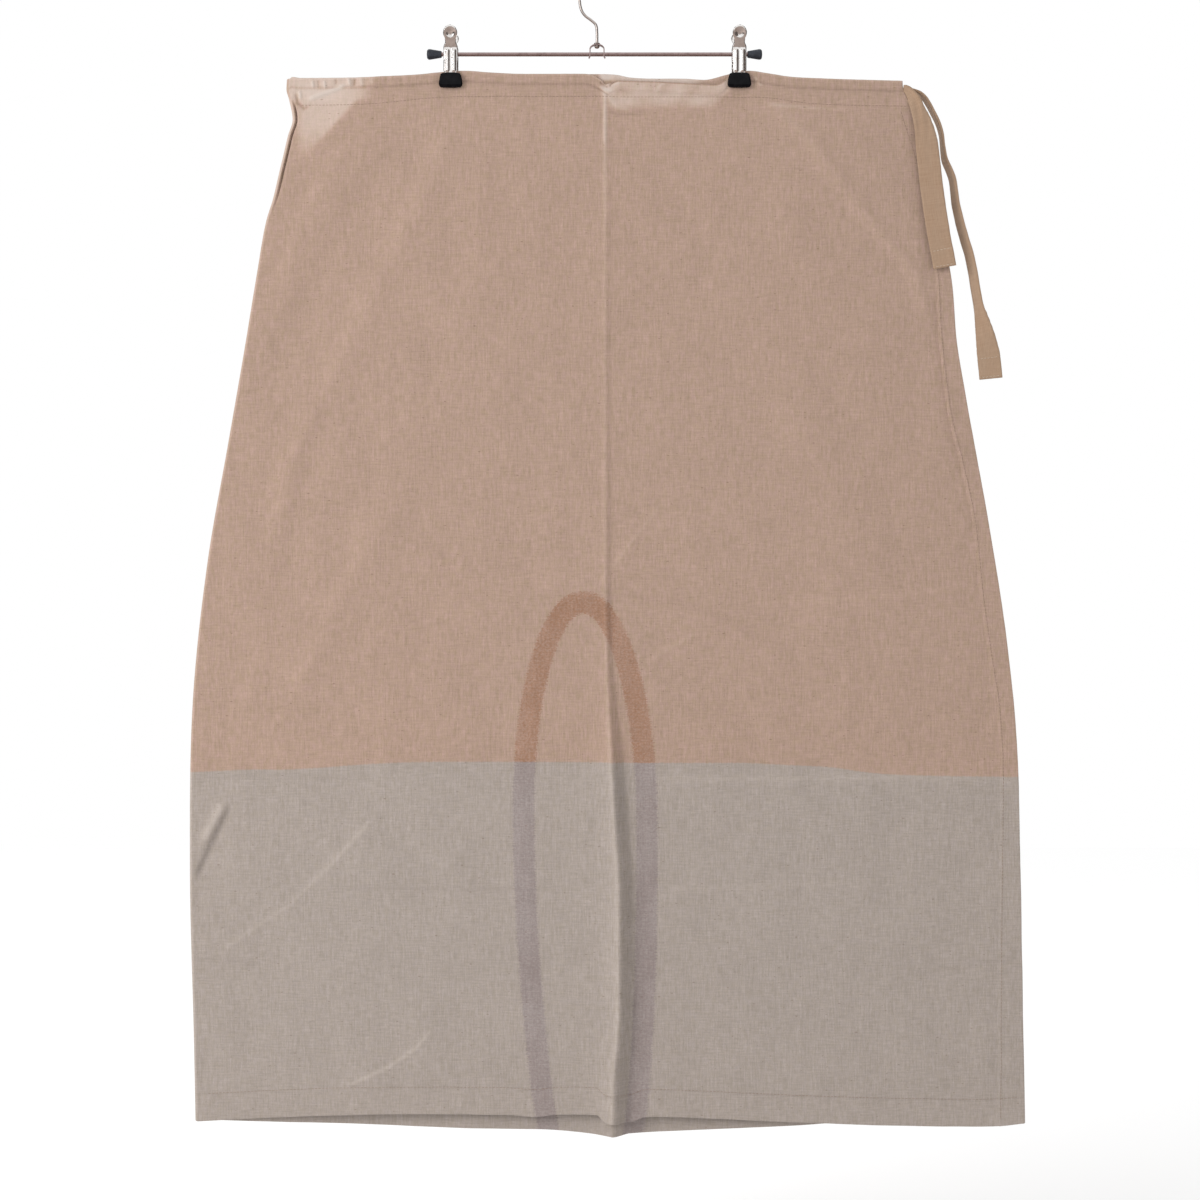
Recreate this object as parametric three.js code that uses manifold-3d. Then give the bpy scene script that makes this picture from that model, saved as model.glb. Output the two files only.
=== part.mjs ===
// A long wrap apron hanging from a two-clip swivel hanger.
//
// Units are millimetres. +Z is up, -Y is the front and +X is to the right.
// The origin is the inner top of the hook's loop, the point where the hook rests on its rail.
// The apron is one cloth folded in half at its left edge. A cotton tape runs through the waist
// casing and comes out at the right as two ties.

import * as THREE from "three";
import Module from "manifold-3d";
import { mergeVertices } from "three/addons/utils/BufferGeometryUtils.js";

const wasm = await Module();
wasm.setup();

// ---- Driving dimensions -------------------------------------------------------------------

const GAP = 0.3; // clearance between neighbouring solids

// Hanger
const BAR_Z = -67;
const BAR_RADIUS = 1.8;
const BAR_LEFT = -150.6;
const BAR_RIGHT = 146.1;
const BAR_BORE = BAR_RADIUS + GAP;
const CAP_LENGTH = 13.2;
const CAP_WALL = 2.4; // rubber beyond the bar's end
const CAP_OUTER_RADIUS = 4.7;
const CAP_INNER_RADIUS = 2.9;
const WIRE_RADIUS = 1.2;
const LOOP_RADIUS = 16; // hook loop, to the wire's centre line
const SADDLE_CREST_Z = -58.3;
const SADDLE_HALF_SPAN = 6.3;
const SADDLE_SHEET = 1;
const SADDLE_DEPTH = 7;
const HEAD_RADIUS = 2.4; // peened end of the hook, below the saddle
const HEAD_HEIGHT = 2;
const HEAD_DROP = 0.5; // fall of the saddle's arch over the head's radius

// Clips, measured from the bar's axis
const CLIPS = { left: -131.4, right: 127.8 };
const LEAF_SHEET = 0.9;
const LEAF_HALF_WIDTH = 6.3;
const LEAF_HEAD_Z = 16.8;
const LEAF_BOTTOM_Z = -28.4;
const EAR_SHEET = 0.8;
const EAR_RADIUS = 3.9;
const EAR_BORE = BAR_RADIUS + 0.4;
const EAR_FRONT_X = 6.2; // outer face of the front leaf's ears
const EAR_REAR_X = 5; // the rear leaf's ears sit inside them
const TIP_TOP_Z = -17.3;
const TIP_BOTTOM_Z = -31;
const TIP_TOP_HALF = 8.7;
const TIP_BOTTOM_HALF = 10.75;
const TIP_INNER_Y = 2.85;
const TIP_OUTER_Y = 7.2;
const SPRING_WIRE = 0.4; // radius
const SPRING_RADIUS = 2.75;
const SPRING_TURNS = 4.5;
const SPRING_HALF_LENGTH = 3.2;

// Apron
const CLOTH = 0.8; // cloth thickness with its nap
const CASING_TOP_Z = -84.3;
const CASING_HEIGHT = 24;
const CASING_LEFT = -275.4; // centre of the fold's curve
const CASING_RIGHT = 274.8;
const CASING_WALL = 0.5;
const TAPE_THICKNESS = 0.8;
const TAPE_WIDTH = 20.5;
const FOLD_INNER = 0.15; // half of the space between the two layers of casing
const FOLD_OUTER = 2.55;
const PANEL_TOP_Z = CASING_TOP_Z - CASING_HEIGHT - GAP;
const FOLD_RADIUS = 2.5; // soft roll along the panels' left edge
const HEM_HEIGHT = 24;
const SIDE_HEM = 20;
const HEM_LAYERS = 1; // two turned-in layers of cloth
const TIE_THICKNESS = 1;
const FOLDED_SHARE = 0.5; // width of a tie folded along its length, as a share of the tape's
const BACK_TIE_TWIST = 0.7; // radians by which the back tie's folded part turns edge-on

// Outlines of the panels, as [x, z] from the waist down or from left to right
const FOLD_EDGE = [
  [-274.5, PANEL_TOP_Z], [-277.5, -142], [-288.5, -198], [-314.5, -331],
  [-347.5, -522], [-361.5, -650], [-363.5, -800], [-358.5, -1027],
];
const OPEN_EDGE = [
  [276, PANEL_TOP_Z], [299, -198], [316.5, -262], [335, -400], [351, -486],
  [368, -594], [379, -738], [384, -943], [386, -1029],
];
const FRONT_HEM_EDGE = [[-358.5, -1027], [-150, -1020], [22, -1024], [200, -1027], [386, -1029]];
const BACK_HEM_EDGE = [[-358.5, -1027], [-150, -1032], [14, -1041], [120, -1034], [386, -1029]];

// Centre lines of the ties, as [x, y, z] from the casing's mouth to the hemmed end
const FRONT_TIE = [
  [275.5, -1.4, -96.5], [277, -1.6, -96.6], [280, -3, -99], [282.4, -4.6, -103.4],
  [284.4, -6, -108.6], [287.3, -7.2, -117], [290.5, -8, -126], [293.6, -8.2, -137],
  [295.5, -8.2, -149], [297, -8.2, -162], [299, -8.2, -180], [301.3, -8.2, -198],
  [304, -8.2, -216], [306.9, -8.2, -234], [309.5, -8.2, -247], [311.8, -8.2, -259.5],
];
const BACK_TIE = [
  [275.5, 1.4, -96.5], [277, 1.4, -96.5], [281, 1.6, -96.6], [286, 2, -97.2], [290.4, 2.4, -99],
  [294, 2.8, -103], [297.4, 3, -109.6], [302, 3, -119], [306.8, 3, -129], [309.6, 3, -139],
  [311, 3, -150.5], [312.6, 3, -161], [316.8, 3, -171], [320, 3, -180], [321.4, 3, -190],
  [323, 3, -202], [326.4, 3, -217], [330.6, 3, -232], [334.8, 3, -246], [338.6, 3, -264],
  [341.4, 3, -281], [344.2, 3, -296], [347.4, 3, -309], [350.3, 3, -322], [352.4, 3, -334],
  [354, 3, -346], [355.2, 3, -358.2],
];

// ---- Materials ----------------------------------------------------------------------------

function material(color, roughness, metalness) {
  return new THREE.MeshStandardMaterial({ color, roughness, metalness });
}

const steel = () => material(0x8e847c, 0.35, 1);
const chrome = () => material(0xd8d8d6, 0.15, 1);
const springSteel = () => material(0x9a9a98, 0.3, 1);
const rubber = () => material(0x262a33, 0.6, 0);
const vinyl = () => material(0x0c0c0e, 0.2, 0);
const peachCloth = () => material(0xb7a08c, 0.9, 0);
const casingCloth = () => material(0xb59b8b, 0.9, 0);
const greyCloth = () => material(0xae9f92, 0.9, 0);
const tape = () => material(0xa88d76, 0.9, 0);

// ---- Solids -------------------------------------------------------------------------------

// A closed geometry as a manifold solid, its shared vertices merged
function solid(geometry) {
  const bare = geometry.clone();
  bare.deleteAttribute("normal");
  bare.deleteAttribute("uv");
  const merged = mergeVertices(bare, 1e-4);
  const vertProperties = new Float32Array(merged.attributes.position.array);
  const triVerts = new Uint32Array(merged.index.array);
  return new wasm.Manifold(new wasm.Mesh({ numProp: 3, vertProperties, triVerts }));
}

// The geometry of a manifold solid
function geometryOf(manifold) {
  const mesh = manifold.getMesh();
  const geometry = new THREE.BufferGeometry();
  geometry.setAttribute("position", new THREE.BufferAttribute(mesh.vertProperties, 3));
  geometry.setIndex(new THREE.BufferAttribute(mesh.triVerts, 1));
  geometry.computeVertexNormals();
  return geometry;
}

function extrude(shape, depth, curveSegments) {
  return new THREE.ExtrudeGeometry(shape, { depth, bevelEnabled: false, curveSegments });
}

// A shape drawn in x and z, filling y from low to high
function frontPrism(shape, low, high, curveSegments = 8) {
  const geometry = extrude(shape, high - low, curveSegments);
  return geometry.rotateX(Math.PI / 2).translate(0, high, 0);
}

// A shape drawn in y and z, filling x from low to high
function sidePrism(shape, low, high, curveSegments = 8) {
  const toSide = new THREE.Matrix4().makeBasis(
    new THREE.Vector3(0, 1, 0),
    new THREE.Vector3(0, 0, 1),
    new THREE.Vector3(1, 0, 0),
  );
  return extrude(shape, high - low, curveSegments).applyMatrix4(toSide).translate(low, 0, 0);
}

// A shape drawn in x and y, filling z from low to high
function planPrism(shape, low, high, curveSegments = 8) {
  return extrude(shape, high - low, curveSegments).translate(0, 0, low);
}

function box(x0, x1, y0, y1, z0, z1) {
  const geometry = new THREE.BoxGeometry(x1 - x0, y1 - y0, z1 - z0);
  return geometry.translate((x0 + x1) / 2, (y0 + y1) / 2, (z0 + z1) / 2);
}

// A cylinder along X
function rod(radius, x0, x1, sides = 20) {
  const geometry = new THREE.CylinderGeometry(radius, radius, x1 - x0, sides);
  return geometry.rotateZ(Math.PI / 2).translate((x0 + x1) / 2, 0, 0);
}

function round(radius, sides) {
  const points = [];
  for (let i = 0; i < sides; i += 1) {
    const turn = (i / sides) * 2 * Math.PI;
    points.push(new THREE.Vector2(radius * Math.cos(turn), radius * Math.sin(turn)));
  }
  return new THREE.Shape(points);
}

// A round wire along a curve
function wire(curve, radius, steps, sides) {
  return new THREE.ExtrudeGeometry(round(radius, sides), { steps, extrudePath: curve });
}

const curve3 = (points) => new THREE.CatmullRomCurve3(points.map((p) => new THREE.Vector3(...p)));
const flat = (points) => points.map(([a, b]) => new THREE.Vector2(a, b));

const group = new THREE.Group();

function add(parent, name, geometry, look) {
  const mesh = new THREE.Mesh(geometry, look);
  mesh.name = name;
  parent.add(mesh);
}

// ---- Hanger -------------------------------------------------------------------------------

// The loop, the neck that brings it back over the stem, and the stem's peened end
function hookGeometry() {
  const points = [[0, 0, SADDLE_CREST_Z - 2.4], [0, 0, -48], [-1, 0, -40.6], [-5.4, 0, -36.2]];
  points.push([-11, 0, -31.8], [-14.6, 0, -25.4]);
  const centreZ = WIRE_RADIUS - LOOP_RADIUS;
  for (let turn = 180; turn >= 5; turn -= 17.5) {
    const a = THREE.MathUtils.degToRad(turn);
    points.push([LOOP_RADIUS * Math.cos(a), 0, centreZ + LOOP_RADIUS * Math.sin(a)]);
  }
  const body = wire(curve3(points), WIRE_RADIUS, 52, 8);
  const top = SADDLE_CREST_Z - SADDLE_SHEET / 2 - HEAD_DROP - GAP;
  const low = top - HEAD_HEIGHT;
  const profile = flat([
    [0, low], [HEAD_RADIUS * 0.7, low], [HEAD_RADIUS, low + 0.8], [HEAD_RADIUS, top], [0, top],
  ]);
  const head = new THREE.LatheGeometry(profile, 16).rotateX(Math.PI / 2);
  return geometryOf(solid(body).add(solid(head)));
}

// A thin stirrup over the bar: the bar runs through its feet, the hook's stem through its crest
function saddleGeometry() {
  const outer = SADDLE_HALF_SPAN + SADDLE_SHEET / 2;
  const inner = outer - SADDLE_SHEET;
  const crest = SADDLE_CREST_Z + SADDLE_SHEET / 2;
  const bend = 5.4;
  const foot = BAR_Z - BAR_RADIUS - 1.6;
  const shape = new THREE.Shape();
  shape.moveTo(-outer, foot);
  shape.lineTo(-outer, crest - bend);
  shape.absellipse(0, crest - bend, outer, bend, Math.PI, 0, true);
  shape.lineTo(outer, foot);
  shape.lineTo(inner, foot);
  shape.lineTo(inner, crest - bend);
  shape.absellipse(0, crest - bend, inner, bend - SADDLE_SHEET, 0, Math.PI, false);
  shape.lineTo(-inner, foot);
  shape.closePath();
  const strap = solid(frontPrism(shape, -SADDLE_DEPTH / 2, SADDLE_DEPTH / 2, 12));
  const barHole = solid(rod(BAR_BORE, -10, 10).translate(0, 0, BAR_Z));
  const stemHole = new THREE.CylinderGeometry(WIRE_RADIUS + GAP, WIRE_RADIUS + GAP, 8, 16);
  stemHole.rotateX(Math.PI / 2).translate(0, 0, SADDLE_CREST_Z);
  return geometryOf(strap.subtract(barHole).subtract(solid(stemHole)));
}

// A soft cone pushed over the bar's end, its wide rounded end outwards
function capGeometry(side) {
  const depth = CAP_LENGTH - CAP_WALL;
  const profile = flat([
    [0, 0.3], [BAR_BORE, 0.3], [BAR_BORE, -depth], [CAP_INNER_RADIUS, -depth],
    [CAP_OUTER_RADIUS, -0.8], [CAP_OUTER_RADIUS, 0.9], [3.1, CAP_WALL], [0, CAP_WALL + 0.4],
  ]);
  const cap = new THREE.LatheGeometry(profile, 20).rotateZ(-Math.PI / 2);
  return side > 0 ? cap : cap.rotateZ(Math.PI);
}

function addHanger() {
  add(group, "swivel_hook", hookGeometry(), chrome());
  add(group, "saddle", saddleGeometry(), steel());
  add(group, "crossbar", rod(BAR_RADIUS, BAR_LEFT, BAR_RIGHT).translate(0, 0, BAR_Z), steel());
  add(group, "left_end_cap", capGeometry(-1).translate(BAR_LEFT, 0, BAR_Z), rubber());
  add(group, "right_end_cap", capGeometry(1).translate(BAR_RIGHT, 0, BAR_Z), rubber());
}

// ---- Clips --------------------------------------------------------------------------------

// The leaf's section from its lower end to its head, as [distance out from the bar, height]
const LEAF_PATH = [
  [4.6, LEAF_BOTTOM_Z], [4.6, -10], [4.6, 0], [4.9, 4.5], [6.6, 9.4], [9.4, 14.2], [12.4, 23.1],
];

// The section's line thickened outwards into a strip of sheet
function sheetSection(side) {
  const path = new THREE.SplineCurve(flat(LEAF_PATH)).getPoints(14);
  const outer = path.map((point, i) => {
    const before = path[Math.max(i - 1, 0)];
    const after = path[Math.min(i + 1, path.length - 1)];
    const along = new THREE.Vector2().subVectors(after, before).normalize();
    return new THREE.Vector2(point.x + along.y * LEAF_SHEET, point.y - along.x * LEAF_SHEET);
  });
  const loop = [...path, ...outer.reverse()];
  return new THREE.Shape(loop.map((p) => new THREE.Vector2(side * p.x, p.y)));
}

// The leaf seen from the front: a round head, a neck, a wider body and a foot inside the tip
function leafOutline() {
  const foot = LEAF_HALF_WIDTH - 0.8;
  const shape = new THREE.Shape();
  shape.moveTo(-foot, LEAF_BOTTOM_Z - 1);
  shape.lineTo(foot, LEAF_BOTTOM_Z - 1);
  shape.lineTo(foot, TIP_TOP_Z + 1);
  shape.lineTo(LEAF_HALF_WIDTH, TIP_TOP_Z + 2);
  shape.lineTo(LEAF_HALF_WIDTH, 6.2);
  shape.quadraticCurveTo(LEAF_HALF_WIDTH, 8.4, 4.4, 9.4);
  shape.lineTo(4.2, 12);
  shape.absarc(0, LEAF_HEAD_Z, LEAF_HALF_WIDTH, -0.85, Math.PI + 0.85, false);
  shape.lineTo(-4.4, 9.4);
  shape.quadraticCurveTo(-LEAF_HALF_WIDTH, 8.4, -LEAF_HALF_WIDTH, 6.2);
  shape.lineTo(-LEAF_HALF_WIDTH, TIP_TOP_Z + 2);
  shape.lineTo(-foot, TIP_TOP_Z + 1);
  shape.closePath();
  return shape;
}

// One ear: a rounded flange from the leaf back round the bar
function earGeometry(side, low, high) {
  const reach = side * 5.1;
  const shape = new THREE.Shape();
  shape.moveTo(reach, -7);
  shape.lineTo(reach, 5.4);
  shape.lineTo(side * 1.6, EAR_RADIUS - 0.3);
  for (let turn = 70; turn <= 290; turn += 20) {
    const a = THREE.MathUtils.degToRad(turn);
    shape.lineTo(side * EAR_RADIUS * Math.cos(a), EAR_RADIUS * Math.sin(a));
  }
  shape.closePath();
  return sidePrism(shape, low, high);
}

// side is -1 for the front leaf and +1 for the rear one
function leafGeometry(side) {
  const half = LEAF_HALF_WIDTH + 1;
  const sheet = solid(sidePrism(sheetSection(side), -half, half));
  let leaf = sheet.intersect(solid(frontPrism(leafOutline(), -20, 20, 6)));
  const earOuter = side < 0 ? EAR_FRONT_X : EAR_REAR_X;
  for (const hand of [-1, 1]) {
    const faces = [hand * earOuter, hand * (earOuter - EAR_SHEET)].sort((a, b) => a - b);
    leaf = leaf.add(solid(earGeometry(side, faces[0], faces[1])));
  }
  const barHole = solid(rod(EAR_BORE, -10, 10));
  return geometryOf(leaf.subtract(barHole));
}

// A dipped vinyl tip, wider at the bottom, with a pocket for the leaf's foot
function tipGeometry(side) {
  const corner = 2.2;
  const shape = new THREE.Shape();
  shape.moveTo(-TIP_TOP_HALF, TIP_TOP_Z);
  shape.lineTo(-TIP_BOTTOM_HALF, TIP_BOTTOM_Z + corner);
  shape.quadraticCurveTo(-TIP_BOTTOM_HALF, TIP_BOTTOM_Z, -TIP_BOTTOM_HALF + corner, TIP_BOTTOM_Z);
  shape.lineTo(TIP_BOTTOM_HALF - corner, TIP_BOTTOM_Z);
  shape.quadraticCurveTo(TIP_BOTTOM_HALF, TIP_BOTTOM_Z, TIP_BOTTOM_HALF, TIP_BOTTOM_Z + corner);
  shape.lineTo(TIP_TOP_HALF, TIP_TOP_Z);
  shape.closePath();
  const faces = [side * TIP_INNER_Y, side * TIP_OUTER_Y].sort((a, b) => a - b);
  const body = solid(frontPrism(shape, faces[0], faces[1], 4));
  const footHalf = LEAF_HALF_WIDTH - 0.8 + GAP;
  const inner = LEAF_PATH[0][0] - GAP;
  const pocketFaces = [side * inner, side * (inner + LEAF_SHEET + 2 * GAP)].sort((a, b) => a - b);
  const pocketTop = TIP_TOP_Z + 5;
  const pocket = box(-footHalf, footHalf, ...pocketFaces, LEAF_BOTTOM_Z - GAP, pocketTop);
  return geometryOf(body.subtract(solid(pocket)));
}

// A torsion spring round the bar. Its legs stand where they rest with the clip fully open.
function springGeometry() {
  const legTop = 8;
  const legY = SPRING_RADIUS + 0.15;
  const points = [[-SPRING_HALF_LENGTH, -legY, legTop], [-SPRING_HALF_LENGTH, -legY, legTop / 2]];
  const perTurn = 10;
  const steps = SPRING_TURNS * perTurn;
  for (let i = 0; i <= steps; i += 1) {
    const turn = Math.PI + (i / perTurn) * 2 * Math.PI;
    const x = SPRING_HALF_LENGTH * (2 * (i / steps) - 1);
    points.push([x, SPRING_RADIUS * Math.cos(turn), SPRING_RADIUS * Math.sin(turn)]);
  }
  points.push([SPRING_HALF_LENGTH, legY, legTop / 2], [SPRING_HALF_LENGTH, legY, legTop]);
  return wire(curve3(points), SPRING_WIRE, 64, 6);
}

function addClips() {
  for (const [hand, x] of Object.entries(CLIPS)) {
    const clip = new THREE.Group();
    clip.position.set(x, 0, BAR_Z);
    add(clip, `${hand}_front_leaf`, leafGeometry(-1), chrome());
    add(clip, `${hand}_rear_leaf`, leafGeometry(1), chrome());
    add(clip, `${hand}_front_tip`, tipGeometry(-1), vinyl());
    add(clip, `${hand}_rear_tip`, tipGeometry(1), vinyl());
    add(clip, `${hand}_spring`, springGeometry(), springSteel());
    group.add(clip);
  }
}

// ---- Apron --------------------------------------------------------------------------------

// A band folded back on itself at the left, seen from above, between two distances from y = 0
function foldedBand(inner, outer, right) {
  const shape = new THREE.Shape();
  shape.moveTo(right, outer);
  shape.lineTo(CASING_LEFT, outer);
  shape.absarc(CASING_LEFT, 0, outer, Math.PI / 2, -Math.PI / 2, false);
  shape.lineTo(right, -outer);
  shape.lineTo(right, -inner);
  shape.lineTo(CASING_LEFT, -inner);
  shape.absarc(CASING_LEFT, 0, inner, -Math.PI / 2, Math.PI / 2, true);
  shape.lineTo(right, inner);
  shape.closePath();
  return shape;
}

// The waist casing: a flat tunnel open at its two right-hand mouths
function casingGeometry() {
  const bottom = CASING_TOP_Z - CASING_HEIGHT;
  const outer = foldedBand(FOLD_INNER, FOLD_OUTER, CASING_RIGHT);
  const hollow = foldedBand(FOLD_INNER + CASING_WALL, FOLD_OUTER - CASING_WALL, CASING_RIGHT + 5);
  const body = solid(planPrism(outer, bottom, CASING_TOP_Z));
  const tunnel = planPrism(hollow, bottom + CASING_WALL, CASING_TOP_Z - CASING_WALL);
  return geometryOf(body.subtract(solid(tunnel)));
}

// The tape inside the casing, folded round with it
function drawstringGeometry() {
  const middle = (FOLD_INNER + FOLD_OUTER) / 2;
  const centre = CASING_TOP_Z - CASING_HEIGHT / 2;
  const inner = middle - TAPE_THICKNESS / 2;
  const band = foldedBand(inner, inner + TAPE_THICKNESS, CASING_RIGHT - GAP);
  return planPrism(band, centre - TAPE_WIDTH / 2, centre + TAPE_WIDTH / 2);
}

// One half of the folded cloth, with its half of the soft roll along the fold
function panelGeometry(side, hemEdge) {
  const down = flat(FOLD_EDGE);
  const across = flat(hemEdge);
  const up = flat(OPEN_EDGE).reverse();
  const shape = new THREE.Shape();
  shape.moveTo(down[0].x, down[0].y);
  shape.splineThru(down.slice(1));
  shape.splineThru(across.slice(1));
  shape.splineThru(up.slice(1));
  shape.closePath();
  const faces = [side * FOLD_RADIUS, side * (FOLD_RADIUS - CLOTH)].sort((a, b) => a - b);
  const slab = solid(frontPrism(shape, faces[0], faces[1], 3));
  const rollPath = curve3(FOLD_EDGE.map(([x, z]) => [x, 0, z]));
  const half = [side * FOLD_INNER, side * FOLD_RADIUS].sort((a, b) => a - b);
  const bottom = Math.min(...FOLD_EDGE.map((p) => p[1]));
  const keep = solid(box(-400, 0, ...half, bottom, PANEL_TOP_Z));
  const roll = solid(wire(rollPath, FOLD_RADIUS, 24, 12)).intersect(keep);
  return geometryOf(slab.add(roll));
}

// Turned-in layers along a panel's bottom, on its inner side
function bottomHemGeometry(side, hemEdge) {
  const left = hemEdge[0][0] + FOLD_RADIUS + GAP;
  const low = flat([[left, hemEdge[0][1]], ...hemEdge.slice(1)]);
  const high = low.map((p) => new THREE.Vector2(p.x, p.y + HEM_HEIGHT)).reverse();
  const shape = new THREE.Shape();
  shape.moveTo(low[0].x, low[0].y);
  shape.splineThru(low.slice(1));
  shape.lineTo(high[0].x - 1, high[0].y);
  shape.splineThru(high.slice(1));
  shape.closePath();
  return frontPrism(shape, ...hemFaces(side), 3);
}

// Turned-in layers along a panel's open edge, from the casing down to the bottom hem
function sideHemGeometry(side) {
  const shift = -0.4;
  const low = OPEN_EDGE[OPEN_EDGE.length - 1][1] + HEM_HEIGHT + 3;
  const edge = OPEN_EDGE.slice(0, -1).map(([x, z]) => [x + shift, z]);
  edge.push([OPEN_EDGE[OPEN_EDGE.length - 1][0] + shift, low]);
  const outer = flat(edge);
  const inner = outer.map((p) => new THREE.Vector2(p.x - SIDE_HEM, p.y)).reverse();
  const shape = new THREE.Shape();
  shape.moveTo(outer[0].x, outer[0].y);
  shape.splineThru(outer.slice(1));
  shape.lineTo(inner[0].x, inner[0].y);
  shape.splineThru(inner.slice(1));
  shape.closePath();
  return frontPrism(shape, ...hemFaces(side), 3);
}

function hemFaces(side) {
  const outer = FOLD_RADIUS - CLOTH - GAP;
  return [side * outer, side * (outer - HEM_LAYERS)].sort((a, b) => a - b);
}

// A ribbon along a centre line. widthAt(t) is its width, and twist(t) turns it edge-on.
function ribbonGeometry(points, thickness, widthAt, twist) {
  const curve = curve3(points);
  const steps = points.length * 2;
  const front = new THREE.Vector3(0, -1, 0);
  const positions = [];
  const index = [];
  for (let i = 0; i <= steps; i += 1) {
    const t = i / steps;
    const along = curve.getTangent(t);
    const flatWidth = new THREE.Vector3().crossVectors(front, along).normalize();
    const across = flatWidth.applyAxisAngle(along, twist(t));
    const normal = new THREE.Vector3().crossVectors(along, across);
    const centre = curve.getPoint(t);
    for (const [w, n] of [[-1, -1], [1, -1], [1, 1], [-1, 1]]) {
      const corner = centre.clone();
      corner.addScaledVector(across, (w * widthAt(t)) / 2);
      corner.addScaledVector(normal, (n * thickness) / 2);
      positions.push(corner.x, corner.y, corner.z);
    }
  }
  for (let i = 0; i < steps; i += 1) {
    for (let k = 0; k < 4; k += 1) {
      const a = i * 4 + k;
      const b = i * 4 + ((k + 1) % 4);
      index.push(a, b, b + 4, a, b + 4, a + 4);
    }
  }
  const last = steps * 4;
  index.push(0, 2, 1, 0, 3, 2);
  index.push(last, last + 1, last + 2, last, last + 2, last + 3);
  const geometry = new THREE.BufferGeometry();
  geometry.setAttribute("position", new THREE.Float32BufferAttribute(positions, 3));
  geometry.setIndex(index);
  geometry.computeVertexNormals();
  return geometry;
}

// Both ties leave the casing folded along their length, and open out to the tape's full width
function tieWidth(openFrom, openTo) {
  const share = (t) => THREE.MathUtils.smoothstep(t, openFrom, openTo);
  return (t) => TAPE_WIDTH * (FOLDED_SHARE + (1 - FOLDED_SHARE) * share(t));
}

// The back tie's folded part hangs half edge-on
function backTieTwist(t) {
  const turnIn = THREE.MathUtils.smoothstep(t, 0.12, 0.3);
  const turnOut = THREE.MathUtils.smoothstep(t, 0.74, 0.9);
  return BACK_TIE_TWIST * (turnIn - turnOut);
}

function frontTieGeometry() {
  return ribbonGeometry(FRONT_TIE, TIE_THICKNESS, tieWidth(0.14, 0.42), () => 0);
}

function backTieGeometry() {
  return ribbonGeometry(BACK_TIE, TIE_THICKNESS, tieWidth(0.78, 0.93), backTieTwist);
}

function addApron() {
  add(group, "waist_casing", casingGeometry(), casingCloth());
  add(group, "drawstring", drawstringGeometry(), tape());
  add(group, "front_panel", panelGeometry(-1, FRONT_HEM_EDGE), peachCloth());
  add(group, "back_panel", panelGeometry(1, BACK_HEM_EDGE), peachCloth());
  add(group, "front_bottom_hem", bottomHemGeometry(-1, FRONT_HEM_EDGE), greyCloth());
  add(group, "back_bottom_hem", bottomHemGeometry(1, BACK_HEM_EDGE), greyCloth());
  add(group, "front_side_hem", sideHemGeometry(-1), peachCloth());
  add(group, "back_side_hem", sideHemGeometry(1), peachCloth());
  add(group, "front_tie", frontTieGeometry(), tape());
  add(group, "back_tie", backTieGeometry(), tape());
}

addHanger();
addClips();
addApron();

export default group;
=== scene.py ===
"""A long wrap apron, folded in half and clipped by its waist to a swivel hanger.

Lengths are in metres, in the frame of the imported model: +Z up, -Y the front, +X to the right.
The apron is one cloth. It is folded at its left edge, and its open edges lie together at the right.
"""

import math

import bpy
import numpy as np
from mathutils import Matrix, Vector


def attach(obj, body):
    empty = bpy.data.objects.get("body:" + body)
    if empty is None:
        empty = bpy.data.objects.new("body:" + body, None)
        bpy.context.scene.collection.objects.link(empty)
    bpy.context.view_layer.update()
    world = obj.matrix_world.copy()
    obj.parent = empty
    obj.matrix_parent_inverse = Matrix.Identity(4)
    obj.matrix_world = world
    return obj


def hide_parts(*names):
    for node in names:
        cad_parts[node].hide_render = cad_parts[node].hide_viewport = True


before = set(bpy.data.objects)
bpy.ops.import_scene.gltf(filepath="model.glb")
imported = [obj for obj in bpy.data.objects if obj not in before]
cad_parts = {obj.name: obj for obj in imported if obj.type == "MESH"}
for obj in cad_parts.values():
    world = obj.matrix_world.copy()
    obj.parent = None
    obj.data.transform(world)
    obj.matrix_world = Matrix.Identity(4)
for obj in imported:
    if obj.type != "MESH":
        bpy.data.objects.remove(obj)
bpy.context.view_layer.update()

RNG = np.random.default_rng(11)

# ---- Driving dimensions -----------------------------------------------------------------------

VIEW_WIDTH = 1.08  # what the camera sees across, at the apron
CAMERA_DISTANCE = 1.9
CAMERA_X = 0.0027
CAMERA_Z = -0.558
SENSOR = 36.0
FLOOR_Z = -1.25

TAPE_WIDTH = 0.0205
TAPE_THICKNESS = 0.0007

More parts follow.
